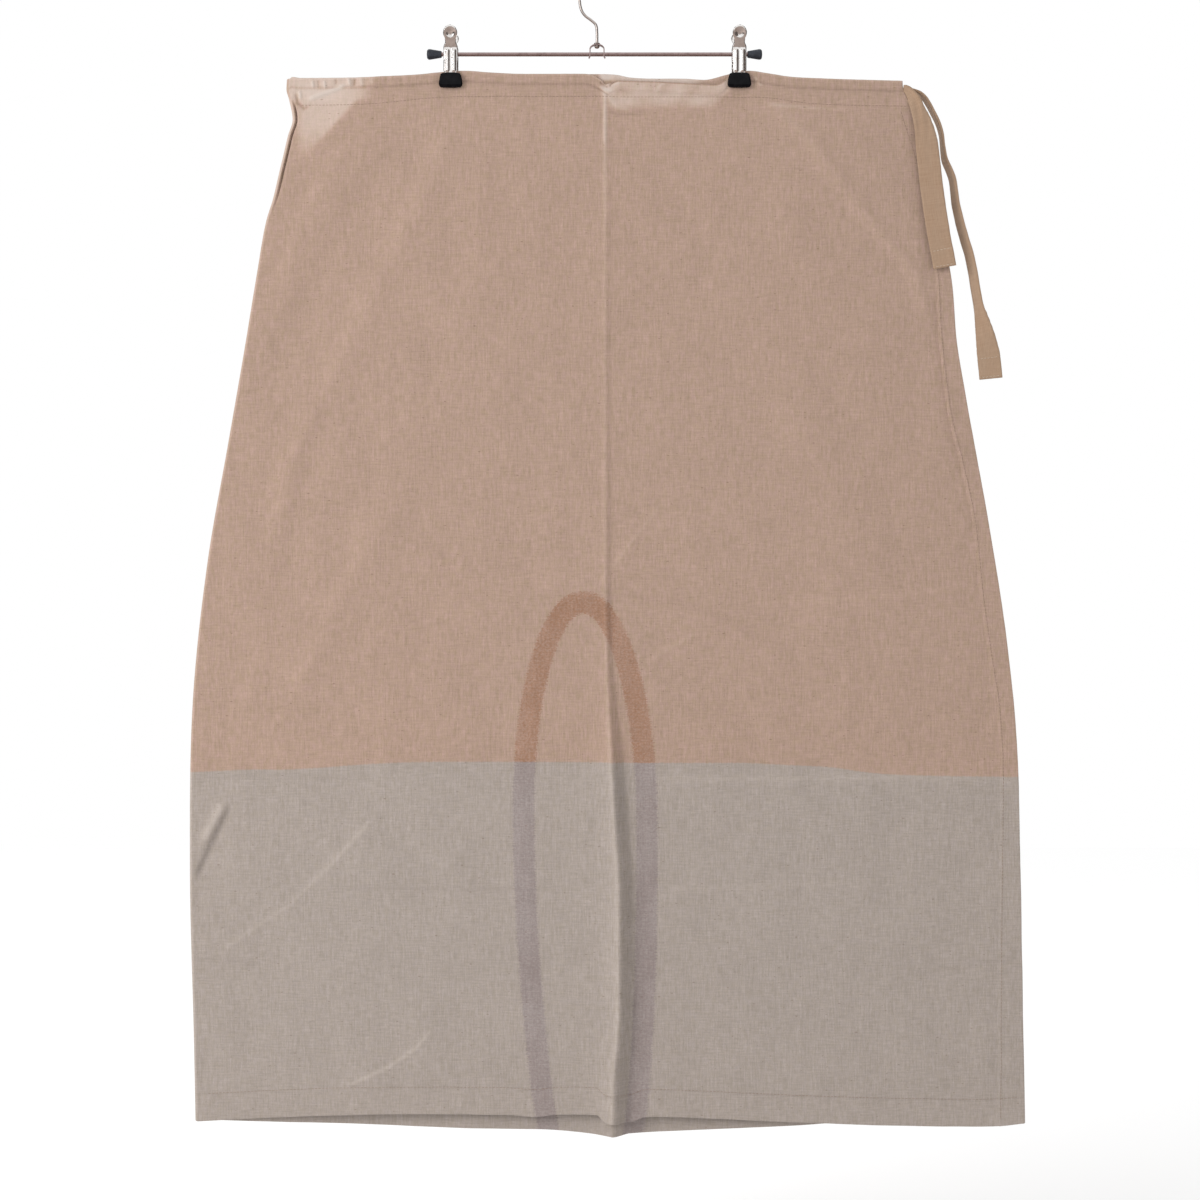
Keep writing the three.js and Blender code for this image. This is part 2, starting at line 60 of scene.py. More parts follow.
# Centre lines of the two ties, from the casing's mouth to the hemmed end
FRONT_TIE = [
    (0.2755, -0.0014, -0.0965), (0.277, -0.0016, -0.0966), (0.28, -0.003, -0.099),
    (0.2824, -0.0046, -0.1034), (0.2844, -0.006, -0.1086), (0.2873, -0.0072, -0.117),
    (0.2905, -0.008, -0.126), (0.2936, -0.0082, -0.137), (0.2955, -0.0082, -0.149),
    (0.297, -0.0082, -0.162), (0.299, -0.0082, -0.18), (0.3013, -0.0082, -0.198),
    (0.304, -0.0082, -0.216), (0.3069, -0.0082, -0.234), (0.3095, -0.0082, -0.247),
    (0.3118, -0.0082, -0.2595),
]
BACK_TIE = [
    (0.2755, 0.0014, -0.0965), (0.277, 0.0014, -0.0965), (0.281, 0.0016, -0.0966),
    (0.286, 0.002, -0.0972), (0.2904, 0.0024, -0.099), (0.294, 0.0028, -0.103),
    (0.2974, 0.003, -0.1096), (0.302, 0.003, -0.119), (0.3068, 0.003, -0.129),
    (0.3096, 0.003, -0.139), (0.311, 0.003, -0.1505), (0.3126, 0.003, -0.161),
    (0.3168, 0.003, -0.171), (0.32, 0.003, -0.18), (0.3214, 0.003, -0.19),
    (0.323, 0.003, -0.202), (0.3264, 0.003, -0.217), (0.3306, 0.003, -0.232),
    (0.3348, 0.003, -0.246), (0.3386, 0.003, -0.264), (0.3414, 0.003, -0.281),
    (0.3442, 0.003, -0.296), (0.3474, 0.003, -0.309), (0.3503, 0.003, -0.322),
    (0.3524, 0.003, -0.334), (0.354, 0.003, -0.346), (0.3552, 0.003, -0.3582),
]

# The ties' shape along their length, as (share of the length, value). The fold is where across the
# tape it is folded, from -1 to 1, where 1 is flat. The roll is its turn from facing front, in radians.
FRONT_TIE_FOLD = [(0, 0.0), (0.1, 0.0), (0.135, 0.08), (0.205, 0.4), (0.33, 0.85), (0.45, 1)]
FRONT_TIE_ROLL = [(0, 0.4), (0.06, 0.6), (0.11, 0.3), (0.15, 0.0), (1, 0)]
BACK_TIE_FOLD = [(0, 0.0), (0.78, 0.0), (0.93, 1.0)]
BACK_TIE_ROLL = [
    (0, 0.8), (0.03, 1.2), (0.06, 1.5), (0.24, 1.5), (0.3, 1.35), (0.5, 1.1), (0.76, 1.0),
    (0.9, 0.05),
]
TAPE_FOLD_RADIUS = 0.0009
TAPE_HEM_BEHIND = 0.0011  # from the tape back to its turned end

# The apron's cloth
CLOTH_THICKNESS = 0.0005
NOSE = 0.0024  # radius of the soft fold at the left, and half the gap between the two layers
HEM_HEIGHT = 0.0245
CASING_INSIDE = 0.0019  # from the casing's outer layer in to its inner one
HEM_INSIDE = 0.0012
CLOTH_WIDTH = 0.747  # across the folded cloth at its hem
CLOTH_DROP = 0.914  # from the casing's stitches to the hem

# Silhouette of the left edge and of the open right edge, as (x, z) from the top down
LEFT_EDGE = [
    (-0.2796, -0.087), (-0.2801, -0.097), (-0.2778, -0.106), (-0.2744, -0.125),
    (-0.2785, -0.1395), (-0.2835, -0.162), (-0.2916, -0.198), (-0.2972, -0.216),
    (-0.3056, -0.263), (-0.3168, -0.331),
    (-0.3312, -0.414), (-0.3501, -0.522), (-0.3636, -0.648), (-0.3663, -0.798),
    (-0.3627, -0.955), (-0.3613, -1.027),
]
RIGHT_EDGE = [
    (0.2744, -0.087), (0.2756, -0.1), (0.279, -0.108), (0.2845, -0.122),
    (0.2905, -0.145), (0.3, -0.198), (0.3168, -0.262), (0.3235, -0.331),
    (0.3315, -0.378), (0.351, -0.486), (0.3678, -0.594), (0.3768, -0.684),
    (0.3802, -0.799), (0.3828, -0.943), (0.3846, -1.028),
]
SIDE_HEM_LINE = [
    (0.268, -0.108), (0.29, -0.18), (0.3045, -0.262), (0.3078, -0.315), (0.3123, -0.36),
    (0.3177, -0.396), (0.3267, -0.432), (0.3375, -0.4815), (0.3452, -0.549), (0.3524, -0.603),
    (0.3596, -0.648), (0.3636, -0.7155), (0.3622, -0.86), (0.3614, -1.007),
]

# Lines across the cloth, as (x, z)
FRONT_TOP = [
    (-0.2781, -0.0886), (-0.2745, -0.0864), (-0.2673, -0.0874), (-0.1962, -0.0872),
    (-0.16, -0.0855), (-0.1422, -0.0837), (-0.1188, -0.0823), (-0.0963, -0.0838),
    (-0.0648, -0.0851), (-0.0144, -0.085), (-0.0045, -0.0862), (0.0036, -0.0905),
    (0.0081, -0.0945), (0.0162, -0.0918), (0.0387, -0.0916), (0.0756, -0.0932),
    (0.0927, -0.0942), (0.106, -0.0948), (0.1145, -0.0915), (0.1188, -0.0865),
    (0.1386, -0.0824), (0.1503, -0.084), (0.1611, -0.0857),
    (0.1719, -0.0874), (0.2043, -0.0892), (0.2745, -0.0913),
]
BACK_TOP = [
    (-0.2781, -0.0886), (-0.2745, -0.0864), (-0.2673, -0.0874), (-0.1962, -0.0872),
    (-0.16, -0.0855), (-0.1422, -0.0837), (-0.1188, -0.0823), (-0.0963, -0.0838),
    (-0.0648, -0.0849), (0.0045, -0.0846), (0.0198, -0.0856), (0.0279, -0.0874),
    (0.0819, -0.0889), (0.0963, -0.0898), (0.1188, -0.0848), (0.1386, -0.0821),
    (0.1503, -0.0838), (0.1611, -0.0855), (0.1719, -0.0872), (0.2043, -0.089),
    (0.2745, -0.0911),
]
CASING_STITCH = [
    (-0.2781, -0.112), (-0.2196, -0.1125), (-0.1467, -0.1067), (-0.1089, -0.1053),
    (-0.0081, -0.1053), (0.0243, -0.1062), (0.1467, -0.1062), (0.1908, -0.1116),
    (0.2745, -0.1143),
]
FRONT_BOTTOM = [
    (-0.3613, -1.0269), (-0.2241, -1.0206), (-0.0873, -1.0197), (-0.0558, -1.0215),
    (-0.0369, -1.0193), (0.0, -1.0188), (0.0063, -1.0242), (0.0135, -1.026),
    (0.0306, -1.026), (0.0405, -1.0224), (0.0522, -1.0215), (0.1035, -1.0233),
    (0.1791, -1.0269), (0.3537, -1.0314), (0.3861, -1.0287),
]
BACK_BOTTOM = [
    (-0.3613, -1.0258), (-0.2241, -1.0306), (-0.1233, -1.0338), (-0.0873, -1.0342),
    (-0.0369, -1.035), (-0.0063, -1.0373), (0.0144, -1.0392), (0.0432, -1.0376),
    (0.1035, -1.0349), (0.18, -1.0318), (0.2295, -1.0285), (0.3861, -1.028),
]


# ---- Curves and meshes ------------------------------------------------------------------------


def smooth_step(t):
    t = np.clip(t, 0, 1)
    return t * t * (3 - 2 * t)


def fade(value, start, end):
    """0 before start, 1 after end."""
    return smooth_step((value - start) / (end - start))


def curve_of(points, along=0):
    """A smooth function through points. along says which coordinate is its input."""
    table = np.array(sorted(points, key=lambda p: p[along]))
    x, y = table[:, along], table[:, 1 - along]
    chord = np.diff(y) / np.diff(x)
    slope = np.concatenate([chord[:1], (chord[1:] + chord[:-1]) / 2, chord[-1:]])
    flat = np.where(chord[1:] * chord[:-1] <= 0)[0] + 1
    slope[flat] = 0

    def value(at):
        at = np.clip(at, x[0], x[-1])
        i = np.clip(np.searchsorted(x, at) - 1, 0, len(x) - 2)
        step = x[i + 1] - x[i]
        t = (at - x[i]) / step
        rise = (2 * t**3 - 3 * t**2 + 1) * y[i] + (3 * t**2 - 2 * t**3) * y[i + 1]
        bend = (t**3 - 2 * t**2 + t) * slope[i] + (t**3 - t**2) * slope[i + 1]
        return rise + bend * step

    return value


def spline_points(points, count):
    """count points along a smooth curve through points, spaced evenly by length."""
    p = np.array(points, float)
    padded = np.vstack([2 * p[0] - p[1], p, 2 * p[-1] - p[-2]])
    t = np.linspace(0, 1, 13)[:-1, None]
    dense = []
    for a, b, c, d in zip(padded, padded[1:], padded[2:], padded[3:]):
        cubic = (2 * b) + (c - a) * t + (2 * a - 5 * b + 4 * c - d) * t**2
        dense.append((cubic + (3 * b - a - 3 * c + d) * t**3) / 2)
    dense = np.vstack(dense + [p[-1:]])
    run = np.concatenate([[0], np.cumsum(np.linalg.norm(np.diff(dense, axis=0), axis=1))])
    at = np.linspace(0, run[-1], count)
    return np.stack([np.interp(at, run, dense[:, k]) for k in range(3)], axis=1)


def length_of(points):
    return float(np.linalg.norm(np.diff(points, axis=0), axis=1).sum())


def plain_object(name, vertices, faces, smooth=True):
    """faces is a list of tuples of vertex numbers, of any length."""
    mesh = bpy.data.meshes.new(name)
    mesh.from_pydata(np.asarray(vertices).tolist(), [], faces)
    mesh.validate()
    mesh.polygons.foreach_set("use_smooth", [smooth] * len(mesh.polygons))
    piece = bpy.data.objects.new(name, mesh)
    bpy.context.scene.collection.objects.link(piece)
    return piece


def mesh_object(name, vertices, faces, uv=None, smooth=True):
    """faces is an array of quads, and uv holds one pair for each vertex."""
    piece = plain_object(name, vertices, np.asarray(faces).tolist(), smooth)
    if uv is not None:
        corners = np.empty(len(piece.data.loops), dtype=np.int32)
        piece.data.loops.foreach_get("vertex_index", corners)
        layer = piece.data.uv_layers.new(name="cloth")
        layer.data.foreach_set("uv", np.asarray(uv, float)[corners].ravel())
    return piece


def level_corners(x, y, z):
    return [(-x, -y, z), (x, -y, z), (x, y, z), (-x, y, z)]


def grid_faces(rows, columns, start=0):
    first = start + np.arange((rows - 1) * columns).reshape(rows - 1, columns)[:, :-1]
    a = first.ravel()
    return np.stack([a, a + 1, a + columns + 1, a + columns], axis=1)


def grid_object(name, places, uv=None):
    rows, columns = places.shape[:2]
    flat_uv = None if uv is None else uv.reshape(-1, 2)
    return mesh_object(name, places.reshape(-1, 3), grid_faces(rows, columns), flat_uv)


def thicken(piece, thickness, offset=0.0):
    solid = piece.modifiers.new("thickness", "SOLIDIFY")
    solid.thickness = thickness
    solid.offset = offset
    solid.use_even_offset = False


def finish_piece(piece, body, material):
    piece.data.materials.append(material)
    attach(piece, body)


# ---- Camera, light and stage ------------------------------------------------------------------


def make_camera():
    data = bpy.data.cameras.new("camera")
    data.sensor_width = SENSOR
    data.lens = SENSOR * CAMERA_DISTANCE / VIEW_WIDTH
    camera = bpy.data.objects.new("camera", data)
    camera.location = (CAMERA_X, -CAMERA_DISTANCE, CAMERA_Z)
    camera.rotation_euler = (math.pi / 2, 0, 0)
    bpy.context.scene.collection.objects.link(camera)
    bpy.context.scene.camera = camera


def make_area_light(name, place, aim, size, watts):
    data = bpy.data.lights.new(name, "AREA")
    data.shape = "RECTANGLE"
    data.size, data.size_y = size
    data.energy = watts
    light = bpy.data.objects.new(name, data)
    light.location = place
    direction = np.array(aim, float) - np.array(place, float)
    light.rotation_euler = Vector(direction).to_track_quat("-Z", "Y").to_euler()
    bpy.context.scene.collection.objects.link(light)


def make_light():
    world = bpy.data.worlds.new("studio")
    bpy.context.scene.world = world
    world.use_nodes = True
    background = world.node_tree.nodes["Background"]
    background.inputs["Color"].default_value = (1, 1, 1, 1)
    background.inputs["Strength"].default_value = 1.0
    make_area_light("key", (-2.6, -1.9, 0.5), (0, 0, -0.5), (1.2, 1.6), 62)
    bpy.context.scene.view_settings.view_transform = "Standard"
    bpy.context.scene.view_settings.look = "None"


def make_floor():
    floor = mesh_object("floor", level_corners(4.0, 4.0, FLOOR_Z), [(0, 1, 2, 3)], smooth=False)
    material = bpy.data.materials.new("floor_white")
    material.use_nodes = True
    shader = material.node_tree.nodes["Principled BSDF"]
    shader.inputs["Base Color"].default_value = (0.97, 0.97, 0.97, 1)
    shader.inputs["Roughness"].default_value = 1.0
    shader.inputs["Specular IOR Level"].default_value = 0.0
    floor.data.materials.append(material)


# ---- Materials --------------------------------------------------------------------------------


class Nodes:
    """Short names for building one material's node tree."""

    def __init__(self, name):
        self.material = bpy.data.materials.new(name)
        self.material.use_nodes = True
        self.tree = self.material.node_tree
        self.shader = self.tree.nodes["Principled BSDF"]

    def new(self, kind, **settings):
        node = self.tree.nodes.new(kind)
        for key, value in settings.items():
            setattr(node, key, value)
        return node

    def join(self, source, target):
        self.tree.links.new(source, target)

    def fill(self, socket, value):
        if isinstance(value, bpy.types.NodeSocket):
            self.join(value, socket)
        else:
            socket.default_value = value

    def math(self, operation, a, b=0.0, c=0.0, clamp=False):
        node = self.new("ShaderNodeMath", operation=operation, use_clamp=clamp)
        for socket, value in zip(node.inputs, (a, b, c)):
            self.fill(socket, value)
        return node.outputs[0]

    def mix(self, share, a, b, blend="MIX"):
        node = self.new("ShaderNodeMix", data_type="RGBA", blend_type=blend)
        for socket, value in zip((node.inputs[0], node.inputs[6], node.inputs[7]), (share, a, b)):
            self.fill(socket, value)
        return node.outputs[2]

    def remap(self, value, low, high, to_low=0.0, to_high=1.0):
        node = self.new("ShaderNodeMapRange", clamp=True)
        for socket, given in zip(node.inputs, (value, low, high, to_low, to_high)):
            self.fill(socket, given)
        return node.outputs[0]

    def uv(self):
        return self.new("ShaderNodeUVMap", uv_map="cloth").outputs[0]

    def stretched(self, vector, scale, place=(0, 0, 0)):
        node = self.new("ShaderNodeMapping")
        self.fill(node.inputs["Vector"], vector)
        node.inputs["Location"].default_value = place
        node.inputs["Scale"].default_value = scale
        return node.outputs[0]

    def noise(self, vector, scale=1.0, detail=2.0, roughness=0.5):
        node = self.new("ShaderNodeTexNoise")
        self.fill(node.inputs["Vector"], vector)
        node.inputs["Scale"].default_value = scale
        node.inputs["Detail"].default_value = detail
        node.inputs["Roughness"].default_value = roughness
        return node.outputs[0]

    def wave(self, vector, scale, direction, distortion=0.0):
        node = self.new("ShaderNodeTexWave", bands_direction=direction)
        self.fill(node.inputs["Vector"], vector)
        node.inputs["Scale"].default_value = scale
        node.inputs["Distortion"].default_value = distortion
        return node.outputs["Fac"]

    def bump(self, height, distance, strength=1.0, normal=None):
        node = self.new("ShaderNodeBump")
        self.fill(node.inputs["Height"], height)
        node.inputs["Distance"].default_value = distance
        node.inputs["Strength"].default_value = strength
        if normal is not None:
            self.join(normal, node.inputs["Normal"])
        return node.outputs[0]

    def shade_colour(self, value):
        node = self.new("ShaderNodeCombineColor")
        for socket in node.inputs[:3]:
            self.fill(socket, value)
        return node.outputs[0]

    def set(self, **values):
        for key, value in values.items():
            self.fill(self.shader.inputs[key.replace("_", " ")], value)


def srgb(red, green, blue):
    """A colour given as 0-255 display values, as the linear values that a shader takes."""
    return tuple(((v / 255 + 0.055) / 1.055) ** 2.4 for v in (red, green, blue)) + (1,)


# ---- Ties -------------------------------------------------------------------------------------


def ribbon_sections(route, width, fold_at, roll, flap_gap, across_count=15):
    """Cross-sections of a tape along a route.

    fold_at and roll give, for each point, where across the tape it is folded (from -1 to 1, where 1
    is not folded) and how far it turns out of the front plane. The part beyond the fold lies behind.
    """
    along = np.gradient(route, axis=0)
    along /= np.linalg.norm(along, axis=1, keepdims=True)
    across = np.cross(np.array([0, -1.0, 0]), along)
    across /= np.linalg.norm(across, axis=1, keepdims=True)
    front = np.cross(along, across)
    run = np.linspace(-width / 2, width / 2, across_count)[None, :]
    fold = fold_at[:, None] * width / 2
    beyond = np.maximum(run - fold, 0)
    turn = np.minimum(beyond / flap_gap, math.pi)
    rest = np.maximum(beyond - math.pi * flap_gap, 0)
    sideways = np.minimum(run, fold) + flap_gap * np.sin(turn) - rest
    depth = -flap_gap * (1 - np.cos(turn)) - 0.06 * rest
    middle = (sideways.max(axis=1) + sideways.min(axis=1)) / 2
    sideways = sideways - middle[:, None]
    c, s = np.cos(roll)[:, None], np.sin(roll)[:, None]
    turned = sideways * c - depth * s
    out = sideways * s + depth * c
    place = route[:, None, :] + turned[:, :, None] * across[:, None, :]
    return place + out[:, :, None] * front[:, None, :], front


def tie_surface(route, share, fold_at, roll, droop):
    """Rows of places along the tape, and the way each row faces. droop lowers it at the mouth."""
    places, front = ribbon_sections(route, TAPE_WIDTH, fold_at, roll, TAPE_FOLD_RADIUS)
    places[:, :, 2] -= droop * (1 - fade(share, 0.03, 0.12))[:, None]
    ripple = 0.00025 * np.sin(share * 41 + 0.7) + 0.0002 * np.sin(share * 97)
    places += (ripple[:, None] * front)[:, None, :]
    run = np.linspace(-TAPE_WIDTH / 2, TAPE_WIDTH / 2, places.shape[1])
    wrinkles = 0.00045 * np.sin(run[None, :] * 800 + share[:, None] * 12)
    wrinkles = wrinkles * (1 - fade(share, 0.15, 0.45))[:, None]
    return places + wrinkles[:, :, None] * front[:, None, :], front


def tie_object(name, places, front, share, length, hem_length):
    """The tape, with its end turned back behind it."""
    rows, columns = places.shape[:2]
    run = np.linspace(-TAPE_WIDTH / 2, TAPE_WIDTH / 2, columns)
    uv = np.stack(np.broadcast_arrays(run[None, :], (share * length)[:, None]), axis=2)
    turned = share >= 1 - hem_length / length
    hem_rows = int(turned.sum())
    hem = places[turned] - TAPE_HEM_BEHIND * front[turned][:, None, :]
    vertices = np.vstack([places.reshape(-1, 3), hem.reshape(-1, 3)])
    both_uv = np.vstack([uv.reshape(-1, 2), uv[turned].reshape(-1, 2) + 0.1])
    end = (rows - 1) * columns + np.arange(columns - 1)
    hem_end = end + hem_rows * columns
    faces = [
        grid_faces(rows, columns), grid_faces(hem_rows, columns, rows * columns),
        np.stack([end, end + 1, hem_end + 1, hem_end], axis=1),
    ]
    return mesh_object(name, vertices, np.vstack(faces), both_uv)


def make_tie(node, points, fold_keys, roll_keys, steps, hem_length, droop, material):
    """A tie of flat tape, built along its route. It returns what its stitching needs."""
    route = spline_points(points, steps)
    length = length_of(route)
    share = np.linspace(0, 1, steps)
    fold_at = np.interp(share, *zip(*fold_keys))
    roll = np.interp(share, *zip(*roll_keys))
    places, front = tie_surface(route, share, fold_at, roll, droop)
    tie = tie_object(f"{node}_tape", places, front, share, length, hem_length)
    thicken(tie, TAPE_THICKNESS)
    finish_piece(tie, "apron", material)
    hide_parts(node)
    return places, front, share * length, hem_length


def make_tape_material():
    n = Nodes("cotton_tape")
    uv = n.uv()
    warp = n.noise(n.stretched(uv, (1500, 60, 1)), detail=3)
    weft = n.noise(n.stretched(uv, (60, 900, 1)), detail=2)
    threads = n.math("MULTIPLY_ADD", weft, 0.4, n.math("MULTIPLY", warp, 0.6))
    cloudy = n.noise(n.stretched(uv, (90, 25, 1)), detail=3)
    colour = n.mix(n.remap(threads, 0.3, 0.7), srgb(140, 114, 92), srgb(160, 134, 112))
    colour = n.mix(n.remap(cloudy, 0.35, 0.7, 0.0, 0.35), colour, srgb(150, 130, 112))
    n.set(Base_Color=colour, Roughness=0.9)
    n.set(Sheen_Weight=0.15, Sheen_Roughness=0.5, Specular_IOR_Level=0.2)
    ridges = n.wave(n.stretched(uv, (260, 1, 1)), 1.0, "X", 0.6)
    height = n.math("MULTIPLY_ADD", ridges, 0.5, threads)
    n.set(Normal=n.bump(height, 0.00025, 0.6))
    return n.material


# ---- The apron's shape ------------------------------------------------------------------------

left_edge = curve_of(LEFT_EDGE, along=1)
right_edge = curve_of(RIGHT_EDGE, along=1)
side_hem_line = curve_of(SIDE_HEM_LINE, along=1)
casing_stitch = curve_of(CASING_STITCH)

# The centre ridge: where its crest runs, how far it stands out, and how wide its right flank is
ridge_line = curve_of([
    (0.0072, -0.085), (0.0069, -0.522), (0.0079, -0.605), (0.0097, -0.646), (0.0126, -0.702),
    (0.0153, -0.756), (0.0189, -0.828), (0.0189, -0.93), (0.0144, -0.985), (0.0135, -1.04),
], along=1)
ridge_height = curve_of([
    (0.001, -0.1), (0.0014, -0.3), (0.0024, -0.52), (0.0046, -0.62), (0.0082, -0.7),
    (0.0108, -0.78), (0.0118, -0.9), (0.0116, -1.04),
], along=1)
ridge_fall = curve_of([
    (0.006, -0.1), (0.007, -0.5), (0.008, -0.64), (0.0115, -0.705), (0.0135, -0.78),
    (0.0155, -0.9), (0.0165, -1.04),
], along=1)


def distance_to(x, z, path):
    """Distance of each point from a path, and how far along the path it lies, from 0 to 1."""
    path = np.array(path, float)
    run = np.concatenate([[0], np.cumsum(np.linalg.norm(np.diff(path, axis=0), axis=1))])
    nearest = np.full(x.shape, np.inf)
    share = np.zeros(x.shape)
    for (x0, z0), (x1, z1), start, end in zip(path, path[1:], run, run[1:]):
        dx, dz, length = x1 - x0, z1 - z0, end - start
        t = np.clip(((x - x0) * dx + (z - z0) * dz) / length**2, 0, 1)
        away = np.hypot(x - x0 - t * dx, z - z0 - t * dz)
        closer = away < nearest
        nearest = np.where(closer, away, nearest)
        share = np.where(closer, (start + t * length) / run[-1], share)
    return nearest, share


# Folds and creases of the front: height (negative for a valley), half-width, and the path
SOFT_FOLDS = [
    (0.0013, 0.011, [(-0.1233, -0.108), (-0.1548, -0.189), (-0.2133, -0.306), (-0.2763, -0.432),
                     (-0.2943, -0.522)]),
    (-0.0012, 0.012, [(-0.168, -0.125), (-0.2268, -0.216), (-0.2763, -0.315), (-0.3033, -0.378)]),
    (0.001, 0.009, [(-0.2178, -0.135), (-0.2673, -0.225), (-0.2853, -0.288)]),
    (0.0012, 0.01, [(-0.1908, -0.468), (-0.2313, -0.558), (-0.2763, -0.648)]),
    (-0.001, 0.011, [(-0.2403, -0.369), (-0.2673, -0.468), (-0.2853, -0.558)]),
    (-0.0007, 0.012, [(-0.15, -0.44), (-0.19, -0.54), (-0.238, -0.63)]),
    (0.0007, 0.011, [(-0.1773, -0.594), (-0.1908, -0.702), (-0.2268, -0.81)]),
    (0.0007, 0.013, [(-0.3033, -0.594), (-0.3258, -0.702), (-0.3285, -0.828)]),
    (0.0014, 0.007, [(0.1467, -0.103), (0.1827, -0.135), (0.2367, -0.207), (0.2862, -0.2655),
                     (0.2997, -0.315)]),
    (-0.001, 0.015, [(0.2, -0.105), (0.2637, -0.153), (0.277, -0.198)]),
    (0.0006, 0.012, [(-0.1, -0.13), (-0.11, -0.25), (-0.14, -0.4)]),
    (0.0006, 0.02, [(0.12, -0.12), (0.15, -0.3), (0.2, -0.5), (0.23, -0.7)]),
]
SHARP_CREASES = [
    (0.0005, 0.003, [(0.061, -0.468), (0.034, -0.502), (0.009, -0.535)]),
    (0.0005, 0.003, [(0.0927, -0.585), (0.0477, -0.612)]),
    (-0.0004, 0.003, [(0.02, -0.553), (0.07, -0.56), (0.12, -0.575), (0.15, -0.6)]),
    (0.0003, 0.003, [(0.14, -0.562), (0.24, -0.556), (0.35, -0.545)]),
    (-0.0003, 0.003, [(0.093, -0.648), (0.156, -0.697)]),
    (0.0005, 0.0035, [(0.04, -0.719), (0.16, -0.7185), (0.28, -0.7175), (0.375, -0.7195)]),
    (-0.0003, 0.003, [(-0.36, -0.717), (-0.3, -0.716), (-0.22, -0.7175)]),
    (-0.0004, 0.0022, [(-0.24, -0.817), (-0.17, -0.8165), (-0.1, -0.8185), (-0.05, -0.817)]),
    (0.0004, 0.003, [(0.05, -0.8175), (0.13, -0.8165), (0.22, -0.812), (0.26, -0.815)]),
    (-0.0019, 0.0032, [(-0.3285, -0.7407), (-0.345, -0.774), (-0.3618, -0.811)]),
    (0.0012, 0.0045, [(-0.337, -0.7407), (-0.3545, -0.776)]),
    (-0.0006, 0.0016, [(-0.3645, -0.882), (-0.33, -0.8825), (-0.299, -0.8865)]),
    (0.0006, 0.0026, [(-0.3456, -0.878), (-0.276, -0.832), (-0.235, -0.792), (-0.1935, -0.745)]),
    (0.0009, 0.0021, [(-0.2268, -0.995), (-0.186, -0.977), (-0.162, -0.96), (-0.145, -0.94)]),
    (-0.0006, 0.0016, [(0.33, -0.888), (0.35, -0.8835), (0.3816, -0.879)]),
    (-0.0003, 0.003, [(0.29, -0.894), (0.33, -0.888)]),
]
# Small crumples at the centre of the casing, at the right clip and in the casing's left corner
CASING_CREASES = [
    (-0.0009, 0.0012, [(0.0025, -0.0925), (0.0065, -0.0945), (0.0105, -0.0972)]),
    (-0.001, 0.0012, [(0.0185, -0.0905), (0.0145, -0.0935), (0.0112, -0.0968)]),
    (0.0006, 0.0012, [(0.002, -0.0962), (0.0065, -0.099), (0.012, -0.1)]),
    (0.0007, 0.0012, [(0.0125, -0.0958), (0.0165, -0.0942), (0.0205, -0.0928)]),
    (0.0006, 0.0014, [(0.0066, -0.1), (0.0072, -0.11), (0.0072, -0.128), (0.0072, -0.15)]),
    (0.0004, 0.0025, [(0.03, -0.118), (0.018, -0.115), (0.012, -0.108), (0.0082, -0.101)]),
    (-0.0007, 0.0016, [(0.0441, -0.1192), (0.0297, -0.1212), (0.0189, -0.1212), (0.0108, -0.1175)]),
    (0.0006, 0.001, [(0.054, -0.1017), (0.0549, -0.0972), (0.0576, -0.0948), (0.0612, -0.0932)]),
    (0.0008, 0.0013, [(0.1415, -0.0865), (0.1435, -0.0915), (0.149, -0.0965)]),
    (0.0004, 0.002, [(0.23, -0.117), (0.2, -0.1165), (0.15, -0.112)]),
    (0.0011, 0.0019, [(-0.2601, -0.1071), (-0.2448, -0.1017), (-0.2313, -0.0967), (-0.2259, -0.0936)]),
    (-0.0008, 0.0016, [(-0.2718, -0.1005), (-0.2696, -0.1095), (-0.2637, -0.1152), (-0.2583, -0.1125)]),
    (0.0008, 0.0013, [(-0.2678, -0.0995), (-0.2672, -0.1065)]),
    (0.0007, 0.0013, [(-0.2565, -0.09), (-0.2556, -0.0963)]),
    (-0.0006, 0.0014, [(-0.2508, -0.089), (-0.2502, -0.097)]),
    (0.0007, 0.0013, [(-0.2457, -0.09), (-0.2448, -0.0972)]),
    (-0.0006, 0.0013, [(-0.2352, -0.0885), (-0.2347, -0.0935)]),
    (0.0009, 0.0012, [(-0.2241, -0.0882), (-0.2223, -0.0945)]),
    (-0.0008, 0.0013, [(-0.2178, -0.0882), (-0.2185, -0.0955)]),
    (0.0008, 0.0012, [(-0.2124, -0.0882), (-0.2115, -0.0954)]),
    (0.0005, 0.0014, [(-0.203, -0.0888), (-0.2025, -0.094)]),
]


def wave_set(length, height, count=26):
    """Directions, pitches and phases of waves about one length long, all drawn once."""
    turn = RNG.uniform(0, math.pi, count)
    pitch = length * RNG.uniform(0.7, 1.6, count)
    phase = RNG.uniform(0, 2 * math.pi, count)
    return np.cos(turn) / pitch, np.sin(turn) / pitch, phase, height / math.sqrt(count / 2)


FRONT_WAVES = [wave_set(0.07, 0.00035), wave_set(0.022, 0.0001)]
BACK_WAVES = [wave_set(0.11, 0.0009), wave_set(0.03, 0.00012)]
FINE_WAVES = wave_set(0.0075, 0.000028)


def waves_at(x, z, waves):
    """Gentle unevenness: the sum of one set of waves."""
    total = np.zeros(x.shape)
    across, up, phases, height = waves
    for a, b, phase in zip(across, up, phases):
        total += np.sin((x * a + z * b) * 2 * math.pi + phase)
    return total * height


def fold_field(x, z, folds):
    """The height of a list of folds, each lower towards its two ends."""
    total = np.zeros(x.shape)
    for height, width, path in folds:
        away, share = distance_to(x, z, path)
        ends = fade(share, 0, 0.12) * (1 - fade(share, 0.85, 1.0))
        total += height * np.exp(-((away / width) ** 2)) * (0.2 + 0.8 * ends)
    return total


